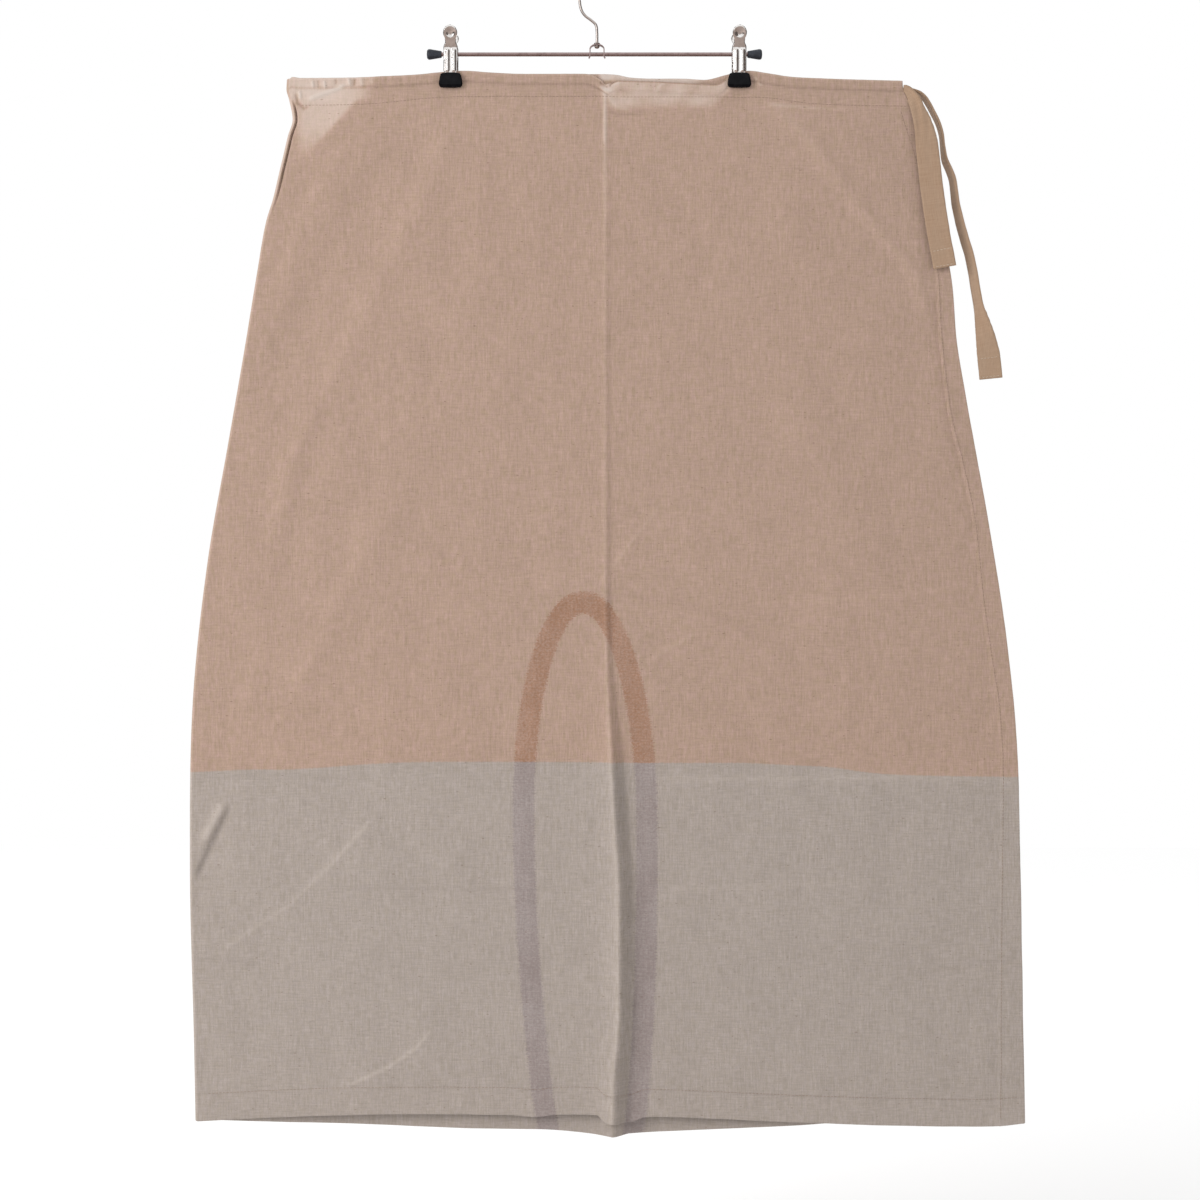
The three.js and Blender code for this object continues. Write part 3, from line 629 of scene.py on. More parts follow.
def centre_ridge(x, z):
    """The pressed fold down the middle: a soft rise from the left, and a quicker fall on the right."""
    away = x - ridge_line(z)
    left = 0.5 * np.exp(np.minimum(away, 0) / 0.009) + 0.5 * np.exp(np.minimum(away, 0) / 0.055)
    right = 1 - smooth_step(away / ridge_fall(z))
    return ridge_height(z) * np.where(away < 0, left, right)


def corner_turn(x, z):
    """Distance past the soft fold that runs down and left across the casing's left corner."""
    start, end = np.array([-0.2151, -0.1107]), np.array([-0.2655, -0.1674])
    along = (end - start) / np.linalg.norm(end - start)
    past = (x - start[0]) * along[1] - (z - start[1]) * along[0]
    return np.maximum(past, 0) * (1 - fade(-z, 0.15, 0.19))


def forward_shift(x, z):
    """How far both layers stand forward together, towards the front."""
    below = fade(-z, 0.1, 0.16)
    past = corner_turn(x, z)
    curl = -0.26 * past / (1 + past / 0.035)
    sway = 0.0012 * np.sin(x * 9.5 + 1.1) * fade(-z, 0.25, 0.8)
    return below * (centre_ridge(x, z) + sway) + curl


def gap_between(u, z):
    """Half of the space between the layers' outer faces."""
    below = fade(-z, 0.112, 0.26)
    belly = smooth_step(u / 0.25) * smooth_step((1 - u) / 0.2)
    return NOSE + 0.0003 * fade(u, 0.85, 1.0) * below + 0.0028 * below * belly


def left_groove(x, z):
    """Below the casing's corner the front layer pulls in from the fold, and leaves a groove."""
    away = x - left_edge(z) - 0.0042
    height = fade(-z, 0.106, 0.12) * (1 - fade(-z, 0.17, 0.215))
    ledge = -0.0026 * (1 - fade(away, -0.0003, 0.0004))
    return height * (ledge - 0.0016 * np.exp(-((away / 0.0008) ** 2)))


def crushed(x):
    """1 between the centre and the right clip, where the casing is squeezed down."""
    return smooth_step((x - 0.008) / 0.006) * (1 - fade(x, 0.115, 0.124))


def casing_relief(x, z, top):
    """The rounded upper edge over the tape, its soft shade line, and the gathers along it."""
    down = top - z
    clear = 1 - fade(down, 0.019, 0.026)
    shade = -0.001 * np.exp(-(((down - 0.0092) / 0.0013) ** 2))
    pucker = np.sin(x * 620 + 2.2 * np.sin(x * 47)) * np.sin(x * 83 + 0.6)
    gathers = (0.00015 + 0.0001 * crushed(x)) * pucker * (1 - fade(down, 0.004, 0.011))
    return clear * (shade + gathers)


def under_sliding_clip(x, z, relief):
    """Where the right clip slides along the casing, raised creases lie nearly flat."""
    lane = smooth_step((x - 0.002) / 0.005) * (1 - fade(x, 0.13, 0.136))
    lane = lane * (1 - fade(-z, 0.1, 0.1025))
    return relief - 0.9 * lane * np.maximum(relief - 0.00006, 0)


def side_hem_relief(x, z):
    """The open edge's turned hem stands proud, and the panel sinks beside it."""
    away = x - side_hem_line(z)
    step = 0.00035 * fade(away, -0.0007, 0.0007)
    strong = fade(-z, 0.25, 0.3) * (1 - fade(-z, 0.36, 0.6))
    sink = -(0.0003 + 0.0011 * strong) * np.exp(-np.abs(away) / 0.006) * (away < 0)
    ridge = (0.0002 + 0.0005 * strong) * np.exp(-((away - 0.0006) / 0.0011) ** 2)
    return fade(-z, 0.19, 0.27) * (step + sink + ridge)


def stitch_relief(run, away):
    """A stitched line: a narrow groove, drawn in a little at each stitch."""
    pucker = 1 + 0.35 * np.sin(run * 700 + 1.5 * np.sin(run * 61))
    return -0.0002 * pucker * np.exp(-((away / 0.0011) ** 2))


def front_relief(x, z, top, bottom):
    """The front's folds, its creases, and the soft roll under the squeezed part of the casing."""
    below = fade(-z, 0.112, 0.135)
    total = fold_field(x, z, SOFT_FOLDS) * fade(-z, 0.1, 0.16)
    total += fold_field(x, z, SHARP_CREASES) * below
    total += 1.3 * fold_field(x, z, CASING_CREASES)
    roll = smooth_step((x + 0.002) / 0.012) * (1 - fade(x, 0.1, 0.13))
    total += 0.0017 * roll * np.exp(-(((z + 0.1065) / 0.0042) ** 2))
    total += side_hem_relief(x, z) + casing_relief(x, z, top)
    total += (waves_at(x, z, FRONT_WAVES[0]) + waves_at(x, z, FRONT_WAVES[1])) * below
    total += waves_at(x, z, FINE_WAVES)
    total += stitch_relief(x, z - casing_stitch(x))
    total += stitch_relief(x, z - bottom - HEM_HEIGHT)
    return under_sliding_clip(x, z, total)


def back_relief(x, z, top, bottom):
    below = fade(-z, 0.112, 0.135)
    total = casing_relief(x, z, top) + 0.6 * side_hem_relief(x, z)
    total += (waves_at(x, z, BACK_WAVES[0]) + waves_at(x, z, BACK_WAVES[1])) * below
    total += waves_at(x, z, FINE_WAVES)
    total += stitch_relief(x, z - casing_stitch(x))
    total += stitch_relief(x, z - bottom - HEM_HEIGHT)
    return under_sliding_clip(x, z, total)


# ---- The apron's painted light and shade ------------------------------------------------------


def patch(x, z, place, reach):
    """1 at a place, fading out within its reach."""
    return np.exp(-(((x - place[0]) / reach[0]) ** 2) - ((z - place[1]) / reach[1]) ** 2)


def corner_painted_highlight(x, z):
    """The casing's left corner, and the wedge below it, get a painted highlight up to the soft fold."""
    below = fade(-z, 0.104, 0.112)
    wedge = fade(corner_turn(x, z), -0.001, 0.006) * fade(x, -0.2765, -0.262)
    tone = 0.27 * wedge * fade(z, -0.172, -0.125) * below
    return tone + 0.27 * (1 - fade(x, -0.225, -0.192)) * (1 - below)


def casing_painted_shading(x, z, down):
    """Painted light and shade along the casing: the squeezed part has a painted highlight under a
    painted gap shadow at its rim, the rest a painted rim highlight and a painted shade line.
    """
    squeezed = crushed(x)
    rough = 1 + 0.14 * waves_at(x, z, FRONT_WAVES[1]) / 0.0001
    lower = -0.1125 + 0.75 * np.maximum(x - 0.102, 0)
    # Painted highlight on the squeezed casing, uneven along its length.
    tone = 0.21 * squeezed * fade(z - lower, -0.007, 0.004) * rough
    # Painted shadow in the gap along the squeezed part's rim.
    tone -= 0.3 * squeezed * (1 - fade(down, 0.0006, 0.0014))
    # Painted rim highlight, then a painted shade line under the rounded top.
    tone += 0.12 * (1 - squeezed) * (1 - fade(down, 0.0006, 0.0024))
    tone -= 0.15 * (1 - squeezed) * np.exp(-(((down - 0.0092) / 0.0012) ** 2))
    # Painted highlights on the crumples at the centre and in the left corner.
    tone += 0.3 * patch(x, z, (0.0095, -0.0985), (0.0055, 0.0055))
    return tone + 0.12 * patch(x, z, (-0.255, -0.1), (0.03, 0.01)) * rough


def ridge_painted_shading(x, z):
    """The ridge gets a painted highlight on its crest and painted shade on its right flank, darkest
    where it stands out furthest.
    """
    flank = (x - ridge_line(z)) / ridge_fall(z)
    # Painted shade on the right flank, painted light left of the crest.
    tone = -0.17 * fade(flank, 0.0, 0.25) * (1 - fade(flank, 0.8, 1.2)) * fade(-z, 0.62, 0.76)
    tone += 0.05 * np.exp(-(((flank + 0.3) / 0.9) ** 2)) * fade(-z, 0.6, 0.7) * (flank < 0)
    near = ridge_line(z) - x
    return tone + 0.12 * np.exp(-((near / 0.003) ** 2)) * (1 - 0.4 * fade(-z, 0.15, 0.25))


def front_painted_shading(x, z, top, bottom):
    """Painted light and shade on the front: above 0.5 is a painted highlight, below it is painted shade.
    """
    # Paler on raised folds and creases and darker in their valleys: painted highlight and painted shade.
    tone = 0.05 * fold_field(x, z, SOFT_FOLDS) / 0.0012
    tone += 0.09 * fold_field(x, z, SHARP_CREASES) / 0.0006
    tone += 0.2 * fold_field(x, z, CASING_CREASES) / 0.0008
    # Painted highlights and painted shade at the casing's left corner, along the casing and on the
    # centre ridge.
    tone += corner_painted_highlight(x, z) + casing_painted_shading(x, z, top - z) + ridge_painted_shading(x, z)
    # A darker line along the hem's stitches.
    tone -= 0.12 * np.exp(-(((z - bottom - HEM_HEIGHT) / 0.0007) ** 2))
    return np.clip(0.5 + tone, 0, 1)


def back_painted_highlight(x, z, top):
    """The rear layer gets a painted highlight where its casing shows above the front one, along its top
    rim and on a small patch at the centre.
    """
    down = top - z
    tone = 0.34 * crushed(x + 0.008) * (1 - fade(down, 0.0035, 0.006)) * (1 - fade(x, 0.08, 0.1))
    tone += 0.12 * (1 - fade(down, 0.0006, 0.0024))
    tone += 0.6 * patch(x, z, (0.0075, -0.0872), (0.0034, 0.003))
    return np.clip(0.5 + tone, 0, 1)


# ---- The apron's layers -----------------------------------------------------------------------


def uneven_steps(start, end, spacing, finer):
    """Steps from start to end. finer holds (place, reach, times) where they lie closer together."""
    at = np.linspace(start, end, 4001)
    density = np.ones(at.shape) / spacing
    for place, reach, times in finer:
        density += (times - 1) / spacing * np.exp(-(((at - place) / reach) ** 2))
    run = np.concatenate([[0], np.cumsum((density[1:] + density[:-1]) / 2 * np.diff(at))])
    return np.interp(np.linspace(0, run[-1], int(run[-1]) + 1), run, at)


class Side:
    """One layer of the folded apron. sign is -1 for the front and +1 for the back."""

    def __init__(self, sign):
        self.sign = sign
        self.top = curve_of(FRONT_TOP if sign < 0 else BACK_TOP)
        self.bottom = curve_of(FRONT_BOTTOM if sign < 0 else BACK_BOTTOM)
        self.relief = front_relief if sign < 0 else back_relief

    def heights(self, u):
        """z of the top, the casing's stitches and the bottom, for each share u of the width."""
        levels = []
        for guess, curve in ((-0.088, self.top), (-0.108, casing_stitch), (-1.025, self.bottom)):
            left, right = left_edge(guess) + NOSE, right_edge(guess)
            levels.append(curve(left + u * (right - left)))
        return levels

    def outer(self, u, z):
        """x, and how far the outer face stands from y = 0 on this side."""
        left, right = left_edge(z) + NOSE, right_edge(z)
        x = left + u * (right - left)
        top, _, bottom = self.heights(u)
        start = smooth_step(u / 0.012)
        relief = self.relief(x, z, top, bottom) * start
        if self.sign < 0:
            relief = relief + left_groove(x, z) * smooth_step((x - left) / 0.0006)
        return x, gap_between(u, z) + relief - self.sign * forward_shift(x, z)


# ---- The apron's mesh -------------------------------------------------------------------------

SIDE_TURN = 0.0008  # from the side hem's outer layer in to its inner one
ROW_DROP = 0.92  # the height that the cloth's rows are spaced for

# Rows of the mesh: up inside the casing, over its top, down to its stitches, round and up the hem
ROWS_INSIDE = 7
ROWS_OVER = 8
ROWS_DOWN = 26
ROWS_ROUND_HEM = 6
ROWS_UP_HEM = 5

# Where the columns lie closer together, as (place across the cloth, reach, times)
FINE_COLUMNS = [(0.0, 0.009, 2.0), (0.381, 0.026, 2.8), (0.721, 0.022, 2.2), (0.747, 0.0075, 2.0)]
FINE_CORNER = (0.045, 0.036, 3.0)


def cloth_rows(side_heights):
    """z and depth below the outer face for every row, from the casing's inside to the hem's."""
    top, stitch, bottom = side_heights
    roll, turn = CASING_INSIDE / 2, HEM_INSIDE / 2
    z_rows, depths, drops = [], [], []

    def add(z, depth):
        z_rows.append(z)
        depths.append(depth)
        drops.append(stitch - z)

    for t in np.linspace(1, 0, ROWS_INSIDE + 1)[:-1]:
        add(top - roll + t * (stitch - top + roll), 2 * roll)
    for angle in np.linspace(math.pi, 0, ROWS_OVER):
        add(top - roll + roll * math.sin(angle), roll - roll * math.cos(angle))
    for t in np.linspace(0, 1, ROWS_DOWN + 1)[1:]:
        add(top - roll + t * (stitch - top + roll), 0.0)
    fine = [(0.0, 0.012, 2.6), (ROW_DROP, HEM_HEIGHT, 2.2)]
    body = uneven_steps(0, ROW_DROP, 0.0028, fine) / ROW_DROP
    for t in body[1:]:
        add(stitch + t * (bottom + turn - stitch), 0.0)
    for angle in np.linspace(0, math.pi, ROWS_ROUND_HEM + 1)[1:]:
        add(bottom + turn - turn * math.sin(angle), turn - turn * math.cos(angle))
    for t in np.linspace(0, 1, ROWS_UP_HEM + 1)[1:]:
        add(bottom + turn + t * (HEM_HEIGHT - turn), 2 * turn)
    return np.array(z_rows), np.array(depths), np.array(drops)


def side_grid(side, u):
    """Places and print coordinates of one layer's grid, rows by columns."""
    z, depth, drop = cloth_rows(side.heights(u))
    across = np.broadcast_to(u, z.shape)
    x, out = side.outer(across, z)
    y = side.sign * (out - depth[:, None])
    uv = np.stack([across * CLOTH_WIDTH, drop * CLOTH_DROP / ROW_DROP], axis=2)
    return np.stack([x, y, z], axis=2), uv, depth


def nose_grid(front, back, front_uv, depth, steps=9):
    """The soft roll at the left, between the two layers' first columns."""
    angles = np.linspace(0, math.pi, steps + 2)[1:-1]
    columns, uvs = [], []
    radius = (NOSE - depth)[:, None]
    for angle in angles:
        share = (1 - math.cos(angle)) / 2
        place = front * (1 - share) + back * share
        place[:, 0] -= (radius * math.sin(angle))[:, 0]
        columns.append(place)
        uvs.append(front_uv - [[NOSE * angle, 0]])
    return np.stack(columns, axis=1), np.stack(uvs, axis=1)


def side_hem_strip(side, z):
    """Columns of the open edge's turned hem, from just past the edge to its inner border."""
    one = np.ones(z.shape)
    _, edge_out = side.outer(one, z)
    edge_x = right_edge(z)
    inner_x = side_hem_line(z)
    roll = SIDE_TURN / 2
    columns = []
    for angle in np.linspace(0, math.pi, 6)[1:]:
        out = edge_out - roll + roll * math.cos(angle)
        columns.append(np.stack([edge_x + roll * math.sin(angle), side.sign * out, z], axis=1))
    for t in np.linspace(0, 1, 6)[1:]:
        x = edge_x + t * (inner_x - edge_x)
        left = left_edge(z) + NOSE
        _, out = side.outer((x - left) / (edge_x - left), z)
        columns.append(np.stack([x, side.sign * (out - SIDE_TURN), z], axis=1))
    return np.stack(columns, axis=1)


def index_faces(index):
    quads = (index[:-1, :-1], index[:-1, 1:], index[1:, 1:], index[1:, :-1])
    return np.stack([q.ravel() for q in quads], axis=1)


def side_hems(front, back, places, uv, index):
    """Vertices, print coordinates and faces of both open edges' turned hems."""
    rows, columns = index.shape
    body = slice(ROWS_INSIDE + ROWS_OVER + ROWS_DOWN - 1, rows - ROWS_ROUND_HEM - ROWS_UP_HEM)
    count = rows * columns
    vertices, uvs, faces = [], [], []
    for side, edge in ((front, 0), (back, columns - 1)):
        strip = side_hem_strip(side, places[body, edge, 2])
        number = np.arange(strip.shape[0] * strip.shape[1]).reshape(strip.shape[:2]) + count
        joined = np.concatenate([index[body, edge : edge + 1], number], axis=1)
        faces.append(index_faces(joined[:, ::-1] if side.sign < 0 else joined))
        vertices.append(strip.reshape(-1, 3))
        uvs.append(np.repeat(uv[body, edge][:, None, :], strip.shape[1], axis=1).reshape(-1, 2))
        count += number.size
    return vertices, uvs, faces


def painted_shading_of(front, back, front_u, back_u, places):
    """The painted light and shade at each point of the joined grid, 0.5 for none. Its columns are the
    front, the nose, the back.
    """
    columns = places.shape[1]
    front_part = slice(0, len(front_u))
    nose_part = slice(len(front_u), columns - len(back_u))
    back_part = slice(columns - len(back_u), columns)
    front_top, _, front_bottom = front.heights(front_u[::-1])
    back_top = back.heights(back_u)[0]
    x, z = places[..., 0], places[..., 2]
    painted_shading = np.full(places.shape[:2], 0.5)
    painted_shading[:, front_part] = front_painted_shading(x[:, front_part], z[:, front_part], front_top, front_bottom)
    painted_shading[:, back_part] = back_painted_highlight(x[:, back_part], z[:, back_part], back_top)
    # A painted rim highlight along the nose, the soft fold at the left, stronger below the casing's
    # corner.
    below_corner = fade(-z[:, nose_part], 0.1, 0.11) * (1 - fade(-z[:, nose_part], 0.17, 0.25))
    painted_shading[:, nose_part] += 0.12 + 0.14 * below_corner
    return painted_shading


def make_apron(material):
    front, back = Side(-1), Side(1)
    back_u = uneven_steps(0, CLOTH_WIDTH, 0.0036, FINE_COLUMNS) / CLOTH_WIDTH
    front_u = uneven_steps(0, CLOTH_WIDTH, 0.0026, FINE_COLUMNS + [FINE_CORNER]) / CLOTH_WIDTH
    front_places, front_uv, depth = side_grid(front, front_u)
    back_places, back_uv, _ = side_grid(back, back_u)
    nose, nose_uv = nose_grid(front_places[:, 0], back_places[:, 0], front_uv[:, 0], depth)
    places = np.concatenate([front_places[:, ::-1], nose, back_places], axis=1)
    uv = np.concatenate([front_uv[:, ::-1], nose_uv, back_uv], axis=1)
    index = np.arange(places[..., 0].size).reshape(places.shape[:2])
    hems, hem_uvs, hem_faces = side_hems(front, back, places, uv, index)
    apron = mesh_object(
        "apron_cloth", np.vstack([places.reshape(-1, 3)] + hems),
        np.vstack([index_faces(index)] + hem_faces), np.vstack([uv.reshape(-1, 2)] + hem_uvs),
    )
    # The painted light and shade go on the cloth as a point attribute.
    painted_shading = painted_shading_of(front, back, front_u, back_u, places)
    shades = np.full(len(apron.data.vertices), 0.5)
    shades[: painted_shading.size] = painted_shading.ravel()
    apron.data.attributes.new("painted_shading", "FLOAT", "POINT").data.foreach_set("value", shades)
    thicken(apron, CLOTH_THICKNESS)
    finish_piece(apron, "apron", material)
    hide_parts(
        "waist_casing", "front_panel", "back_panel", "front_bottom_hem",
        "back_bottom_hem", "front_side_hem", "back_side_hem",
    )
    return apron, front, back


# ---- Cloth material ---------------------------------------------------------------------------

LIT = 0.715  # albedo for a display value, under this light


def cloth_colour(red, green, blue):
    return tuple(LIT * v for v in srgb(red, green, blue)[:3]) + (1,)


# The woven arch: the middle of its ellipse on the cloth, its half-width, and its reach up and down
ARCH_ACROSS = 0.3552
ARCH_DOWN = 0.637
ARCH_HALF_WIDTH = 0.0555
ARCH_UP = 0.185
ARCH_LOW = 0.394


def band_distance(n, across, down):
    """Distance from the woven arch's line: an ellipse with a longer lower half."""
    x = n.math("SUBTRACT", across, ARCH_ACROSS)
    y = n.math("SUBTRACT", down, ARCH_DOWN)
    below = n.math("GREATER_THAN", y, 0.0)
    reach = n.math("MULTIPLY_ADD", below, ARCH_LOW - ARCH_UP, ARCH_UP)
    a = n.math("DIVIDE", x, ARCH_HALF_WIDTH)
    b = n.math("DIVIDE", y, reach)
    r = n.math("SQRT", n.math("ADD", n.math("MULTIPLY", a, a), n.math("MULTIPLY", b, b)))
    ga = n.math("DIVIDE", a, ARCH_HALF_WIDTH)
    gb = n.math("DIVIDE", b, reach)
    steep = n.math("SQRT", n.math("ADD", n.math("MULTIPLY", ga, ga), n.math("MULTIPLY", gb, gb)))
    return n.math("DIVIDE", n.math("MULTIPLY", n.math("SUBTRACT", r, 1.0), r), steep)


def make_cloth_material():
    n = Nodes("apron_cloth")
    split = n.new("ShaderNodeSeparateXYZ")
    n.join(n.new("ShaderNodeTexCoord").outputs["Object"], split.inputs[0])
    plane = n.new("ShaderNodeCombineXYZ")
    n.join(split.outputs["X"], plane.inputs["X"])
    n.join(split.outputs["Z"], plane.inputs["Y"])
    threads = plane.outputs[0]
    printed = n.new("ShaderNodeSeparateXYZ")
    n.join(n.uv(), printed.inputs[0])
    across, down = printed.outputs["X"], printed.outputs["Y"]
    # The painted light and shade stored on the cloth's points.
    painted_shading = n.new("ShaderNodeAttribute", attribute_name="painted_shading").outputs["Fac"]

    warp = n.noise(n.stretched(threads, (820, 60, 1)), detail=3, roughness=0.62)
    long_warp = n.noise(n.stretched(threads, (330, 7, 1), (2, 7, 0)), detail=2)
    weft = n.noise(n.stretched(threads, (75, 760, 1), (3, 1, 0)), detail=3, roughness=0.62)
    fine_warp = n.noise(n.stretched(threads, (1900, 420, 1)), detail=1)
    blush = n.noise(n.stretched(threads, (320, 150, 1), (1, 4, 0)), detail=3)
    cloudy = n.noise(n.stretched(threads, (34, 22, 1)), detail=3)
    jagged = n.noise(n.stretched(threads, (420, 900, 1), (5, 0, 0)), detail=2)

    hue = n.math("ADD", n.math("MULTIPLY", warp, 0.45), n.math("MULTIPLY", blush, 0.55))
    tone = n.remap(hue, 0.38, 0.62)
    peach = n.mix(tone, cloth_colour(177, 152, 131), cloth_colour(186, 157, 144))
    grey = n.mix(tone, cloth_colour(171, 159, 148), cloth_colour(177, 165, 158))
    sag = n.remap(across, 0.5, 0.6, 0.0048, 0.0)
    sag = n.math("MULTIPLY", sag, n.remap(across, 0.0, 0.05, 0.4, 1.0))
    edge = n.math("MULTIPLY_ADD", jagged, 0.0022, n.math("SUBTRACT", down, 0.0011))
    edge = n.math("ADD", edge, sag)
    is_grey = n.remap(edge, 0.5982, 0.5994)
    ground = n.mix(is_grey, peach, grey)

    spread = n.math("MULTIPLY", n.math("SUBTRACT", jagged, 0.5), 0.009)
    away = n.math("ABSOLUTE", n.math("ADD", band_distance(n, across, down), spread))
    band = n.remap(away, 0.0088, 0.0106, 1.0, 0.0)
    streaky = n.remap(fine_warp, 0.3, 0.7, 0.68, 1.0)
    mesh_work = n.noise(n.stretched(threads, (420, 520, 1), (7, 3, 0)), detail=3, roughness=0.7)
    patchy = n.remap(n.math("MULTIPLY_ADD", cloudy, 0.5, mesh_work), 0.6, 0.92)
    warm = n.mix(patchy, cloth_colour(158, 117, 92), cloth_colour(176, 144, 127))
    cool = n.mix(patchy, cloth_colour(148, 133, 130), cloth_colour(166, 155, 152))
    brown = n.mix(is_grey, warm, cool)
    colour = n.mix(n.math("MULTIPLY", band, streaky), ground, brown)

    shades = [
        n.remap(warp, 0.3, 0.7, 0.925, 1.07), n.remap(weft, 0.3, 0.7, 0.91, 1.08),
        n.remap(fine_warp, 0.25, 0.75, 0.93, 1.07), n.remap(long_warp, 0.3, 0.7, 0.975, 1.02),
        n.remap(cloudy, 0.3, 0.7, 0.98, 1.02),
    ]
    # The point attribute scales the colour: painted light above 0.5, painted shade below.
    shade = n.remap(painted_shading, 0.0, 1.0, 0.6, 1.4)
    for share in shades:
        shade = n.math("MULTIPLY", shade, share)
    colour = n.mix(1.0, colour, n.shade_colour(shade), "MULTIPLY")
    # Where it is highest it also mixes in a whitish painted highlight.
    colour = n.mix(n.remap(painted_shading, 0.55, 1.0, 0.0, 0.8), colour, cloth_colour(216, 203, 194))
    slub = n.noise(n.stretched(threads, (260, 620, 1), (9, 2, 0)), detail=0)
    colour = n.mix(n.remap(slub, 0.795, 0.84, 0.0, 0.4), colour, cloth_colour(112, 84, 62))
    n.set(Base_Color=colour, Roughness=0.92)
    n.set(Sheen_Weight=0.3, Sheen_Roughness=0.35, Specular_IOR_Level=0.1)

    over = n.wave(n.stretched(threads, (1, 1, 1)), 340, "X", 0.4)
    under = n.wave(n.stretched(threads, (1, 1, 1)), 340, "Y", 0.4)
    weave = n.math("MULTIPLY_ADD", over, under, n.math("MULTIPLY", warp, 1.4))
    n.set(Normal=n.bump(n.math("ADD", weave, weft), 0.00012, 0.7))
    return n.material


# ---- Stitching --------------------------------------------------------------------------------

STITCH = 0.0024
STITCH_GAP = 0.0008
STITCH_RADIUS = 0.00018


def capsule(start, end, radius, sides=6):
    """Vertices and faces of a short thread with rounded ends."""
    along = end - start
    length = np.linalg.norm(along)
    along = along / length
    other = np.cross(along, [0.3, 0.9, 0.2])
    other /= np.linalg.norm(other)
    third = np.cross(along, other)
    turn = np.linspace(0, 2 * math.pi, sides, endpoint=False)
    ring = np.outer(np.cos(turn), other) + np.outer(np.sin(turn), third)
    rings = []
    for share, size in ((0.0, 0.35), (0.08, 1.0), (0.5, 1.25), (0.92, 1.0), (1.0, 0.35)):
        rings.append(start + along * length * share + ring * radius * size)
    vertices = np.vstack(rings)
    faces = []
    for r in range(len(rings) - 1):
        for k in range(sides):
            a, b = r * sides + k, r * sides + (k + 1) % sides
            faces.append((a, b, b + sides, a + sides))
    faces.append(tuple(range(sides))[::-1])
    faces.append(tuple(range((len(rings) - 1) * sides, len(rings) * sides)))
    return vertices, faces


def join_parts(parts):
    """One list of vertices and one of faces, from many pairs of the two."""
    vertices, faces, count = [], [], 0
    for part_vertices, part_faces in parts:
        vertices.append(part_vertices)
        faces.extend(tuple(i + count for i in face) for face in part_faces)
        count += len(part_vertices)
    return np.vstack(vertices), faces


def stitches_along(path):
    """Capsules along a dense path of points."""
    run = np.concatenate([[0], np.cumsum(np.linalg.norm(np.diff(path, axis=0), axis=1))])
    capsules = []
    for start in np.arange(0.001, run[-1] - STITCH, STITCH + STITCH_GAP):
        ends = [
            np.array([np.interp(at, run, path[:, k]) for k in range(3)])
            for at in (start, start + STITCH)
        ]
        capsules.append(capsule(ends[0], ends[1], STITCH_RADIUS))
    return join_parts(capsules)


def thread_object(name, parts, body, material):
    vertices, faces = join_parts(parts)
    piece = plain_object(name, vertices, faces)
    finish_piece(piece, body, material)


def on_cloth(side, u, z, lift=0.00025):
    x, out = side.outer(u, z)
    return np.stack([x, side.sign * (out + lift), z], axis=1)


def make_stitching(front, back, material):
    parts = []
    for side in (front, back):
        u = np.linspace(0.012, 0.995, 500)
        _, stitch, bottom = side.heights(u)
        parts.append(stitches_along(on_cloth(side, u, stitch)))
        parts.append(stitches_along(on_cloth(side, u, bottom + HEM_HEIGHT)))
        z = np.linspace(-0.118, -1.025, 500)
        left, right = left_edge(z) + NOSE, right_edge(z)
        u = (side_hem_line(z) + 0.0016 - left) / (right - left)
        parts.append(stitches_along(on_cloth(side, u, z)))
    thread_object("apron_stitching", parts, "apron", material)


def make_tie_stitching(ties, material):
    """Rows of stitches across each tie's hem, and one close to its end."""
    parts = []
    for places, front, run, hem_length in ties:
        for above_end in (hem_length - 0.0012, 0.002):
            row = int(np.argmin(np.abs(run[-1] - above_end - run)))
            path = places[row, 1:-1] + front[row] * (TAPE_THICKNESS / 2 + 0.0001)
            parts.append(stitches_along(path))
    thread_object("tie_stitching", parts, "apron", material)


def make_thread_material(name, dark, pale):
    n = Nodes(name)
    tone = n.noise(n.stretched(n.new("ShaderNodeTexCoord").outputs["Object"], (500, 500, 500)))
    n.set(Base_Color=n.mix(tone, cloth_colour(*dark), cloth_colour(*pale)))
    n.set(Roughness=0.7)
    return n.material


def make_casing_tape(front, back, material):
    """The tape inside the casing: it runs from one mouth round the fold to the other."""
    u = np.linspace(0.998, 0.004, 240)
    half = TAPE_WIDTH / 2
    inside = CASING_INSIDE / 2
    columns = []
    for side in (front, back):
        top, stitch, _ = side.heights(u)
        room = np.minimum(half, (top - stitch) / 2 - 0.0016)
        rows = []
        for t in np.linspace(-1, 1, 7):
            z = (top + stitch) / 2 + t * room
            x, out = side.outer(u, z)
            rows.append(np.stack([x, side.sign * (out - inside), z], axis=1))
        columns.append(np.stack(rows, axis=0))
    nose = []
    ends = columns[0][:, -1], columns[1][:, -1]
    for angle in np.linspace(0, math.pi, 7)[1:-1]:
        share = (1 - math.cos(angle)) / 2
        place = ends[0] * (1 - share) + ends[1] * share
        place[:, 0] -= (NOSE - inside) * math.sin(angle)
        nose.append(place)
    places = np.concatenate([columns[0], np.stack(nose, axis=1), columns[1][:, ::-1]], axis=1)
    run = np.linspace(0, 1.1, places.shape[1])
    across = np.linspace(-half, half, 7)
    uv = np.stack(np.broadcast_arrays(across[:, None], run[None, :]), axis=2)
    tape = grid_object("casing_tape", places, uv)
    thicken(tape, TAPE_THICKNESS)
    finish_piece(tape, "apron", material)
    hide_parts("drawstring")


# ---- Hanger -----------------------------------------------------------------------------------

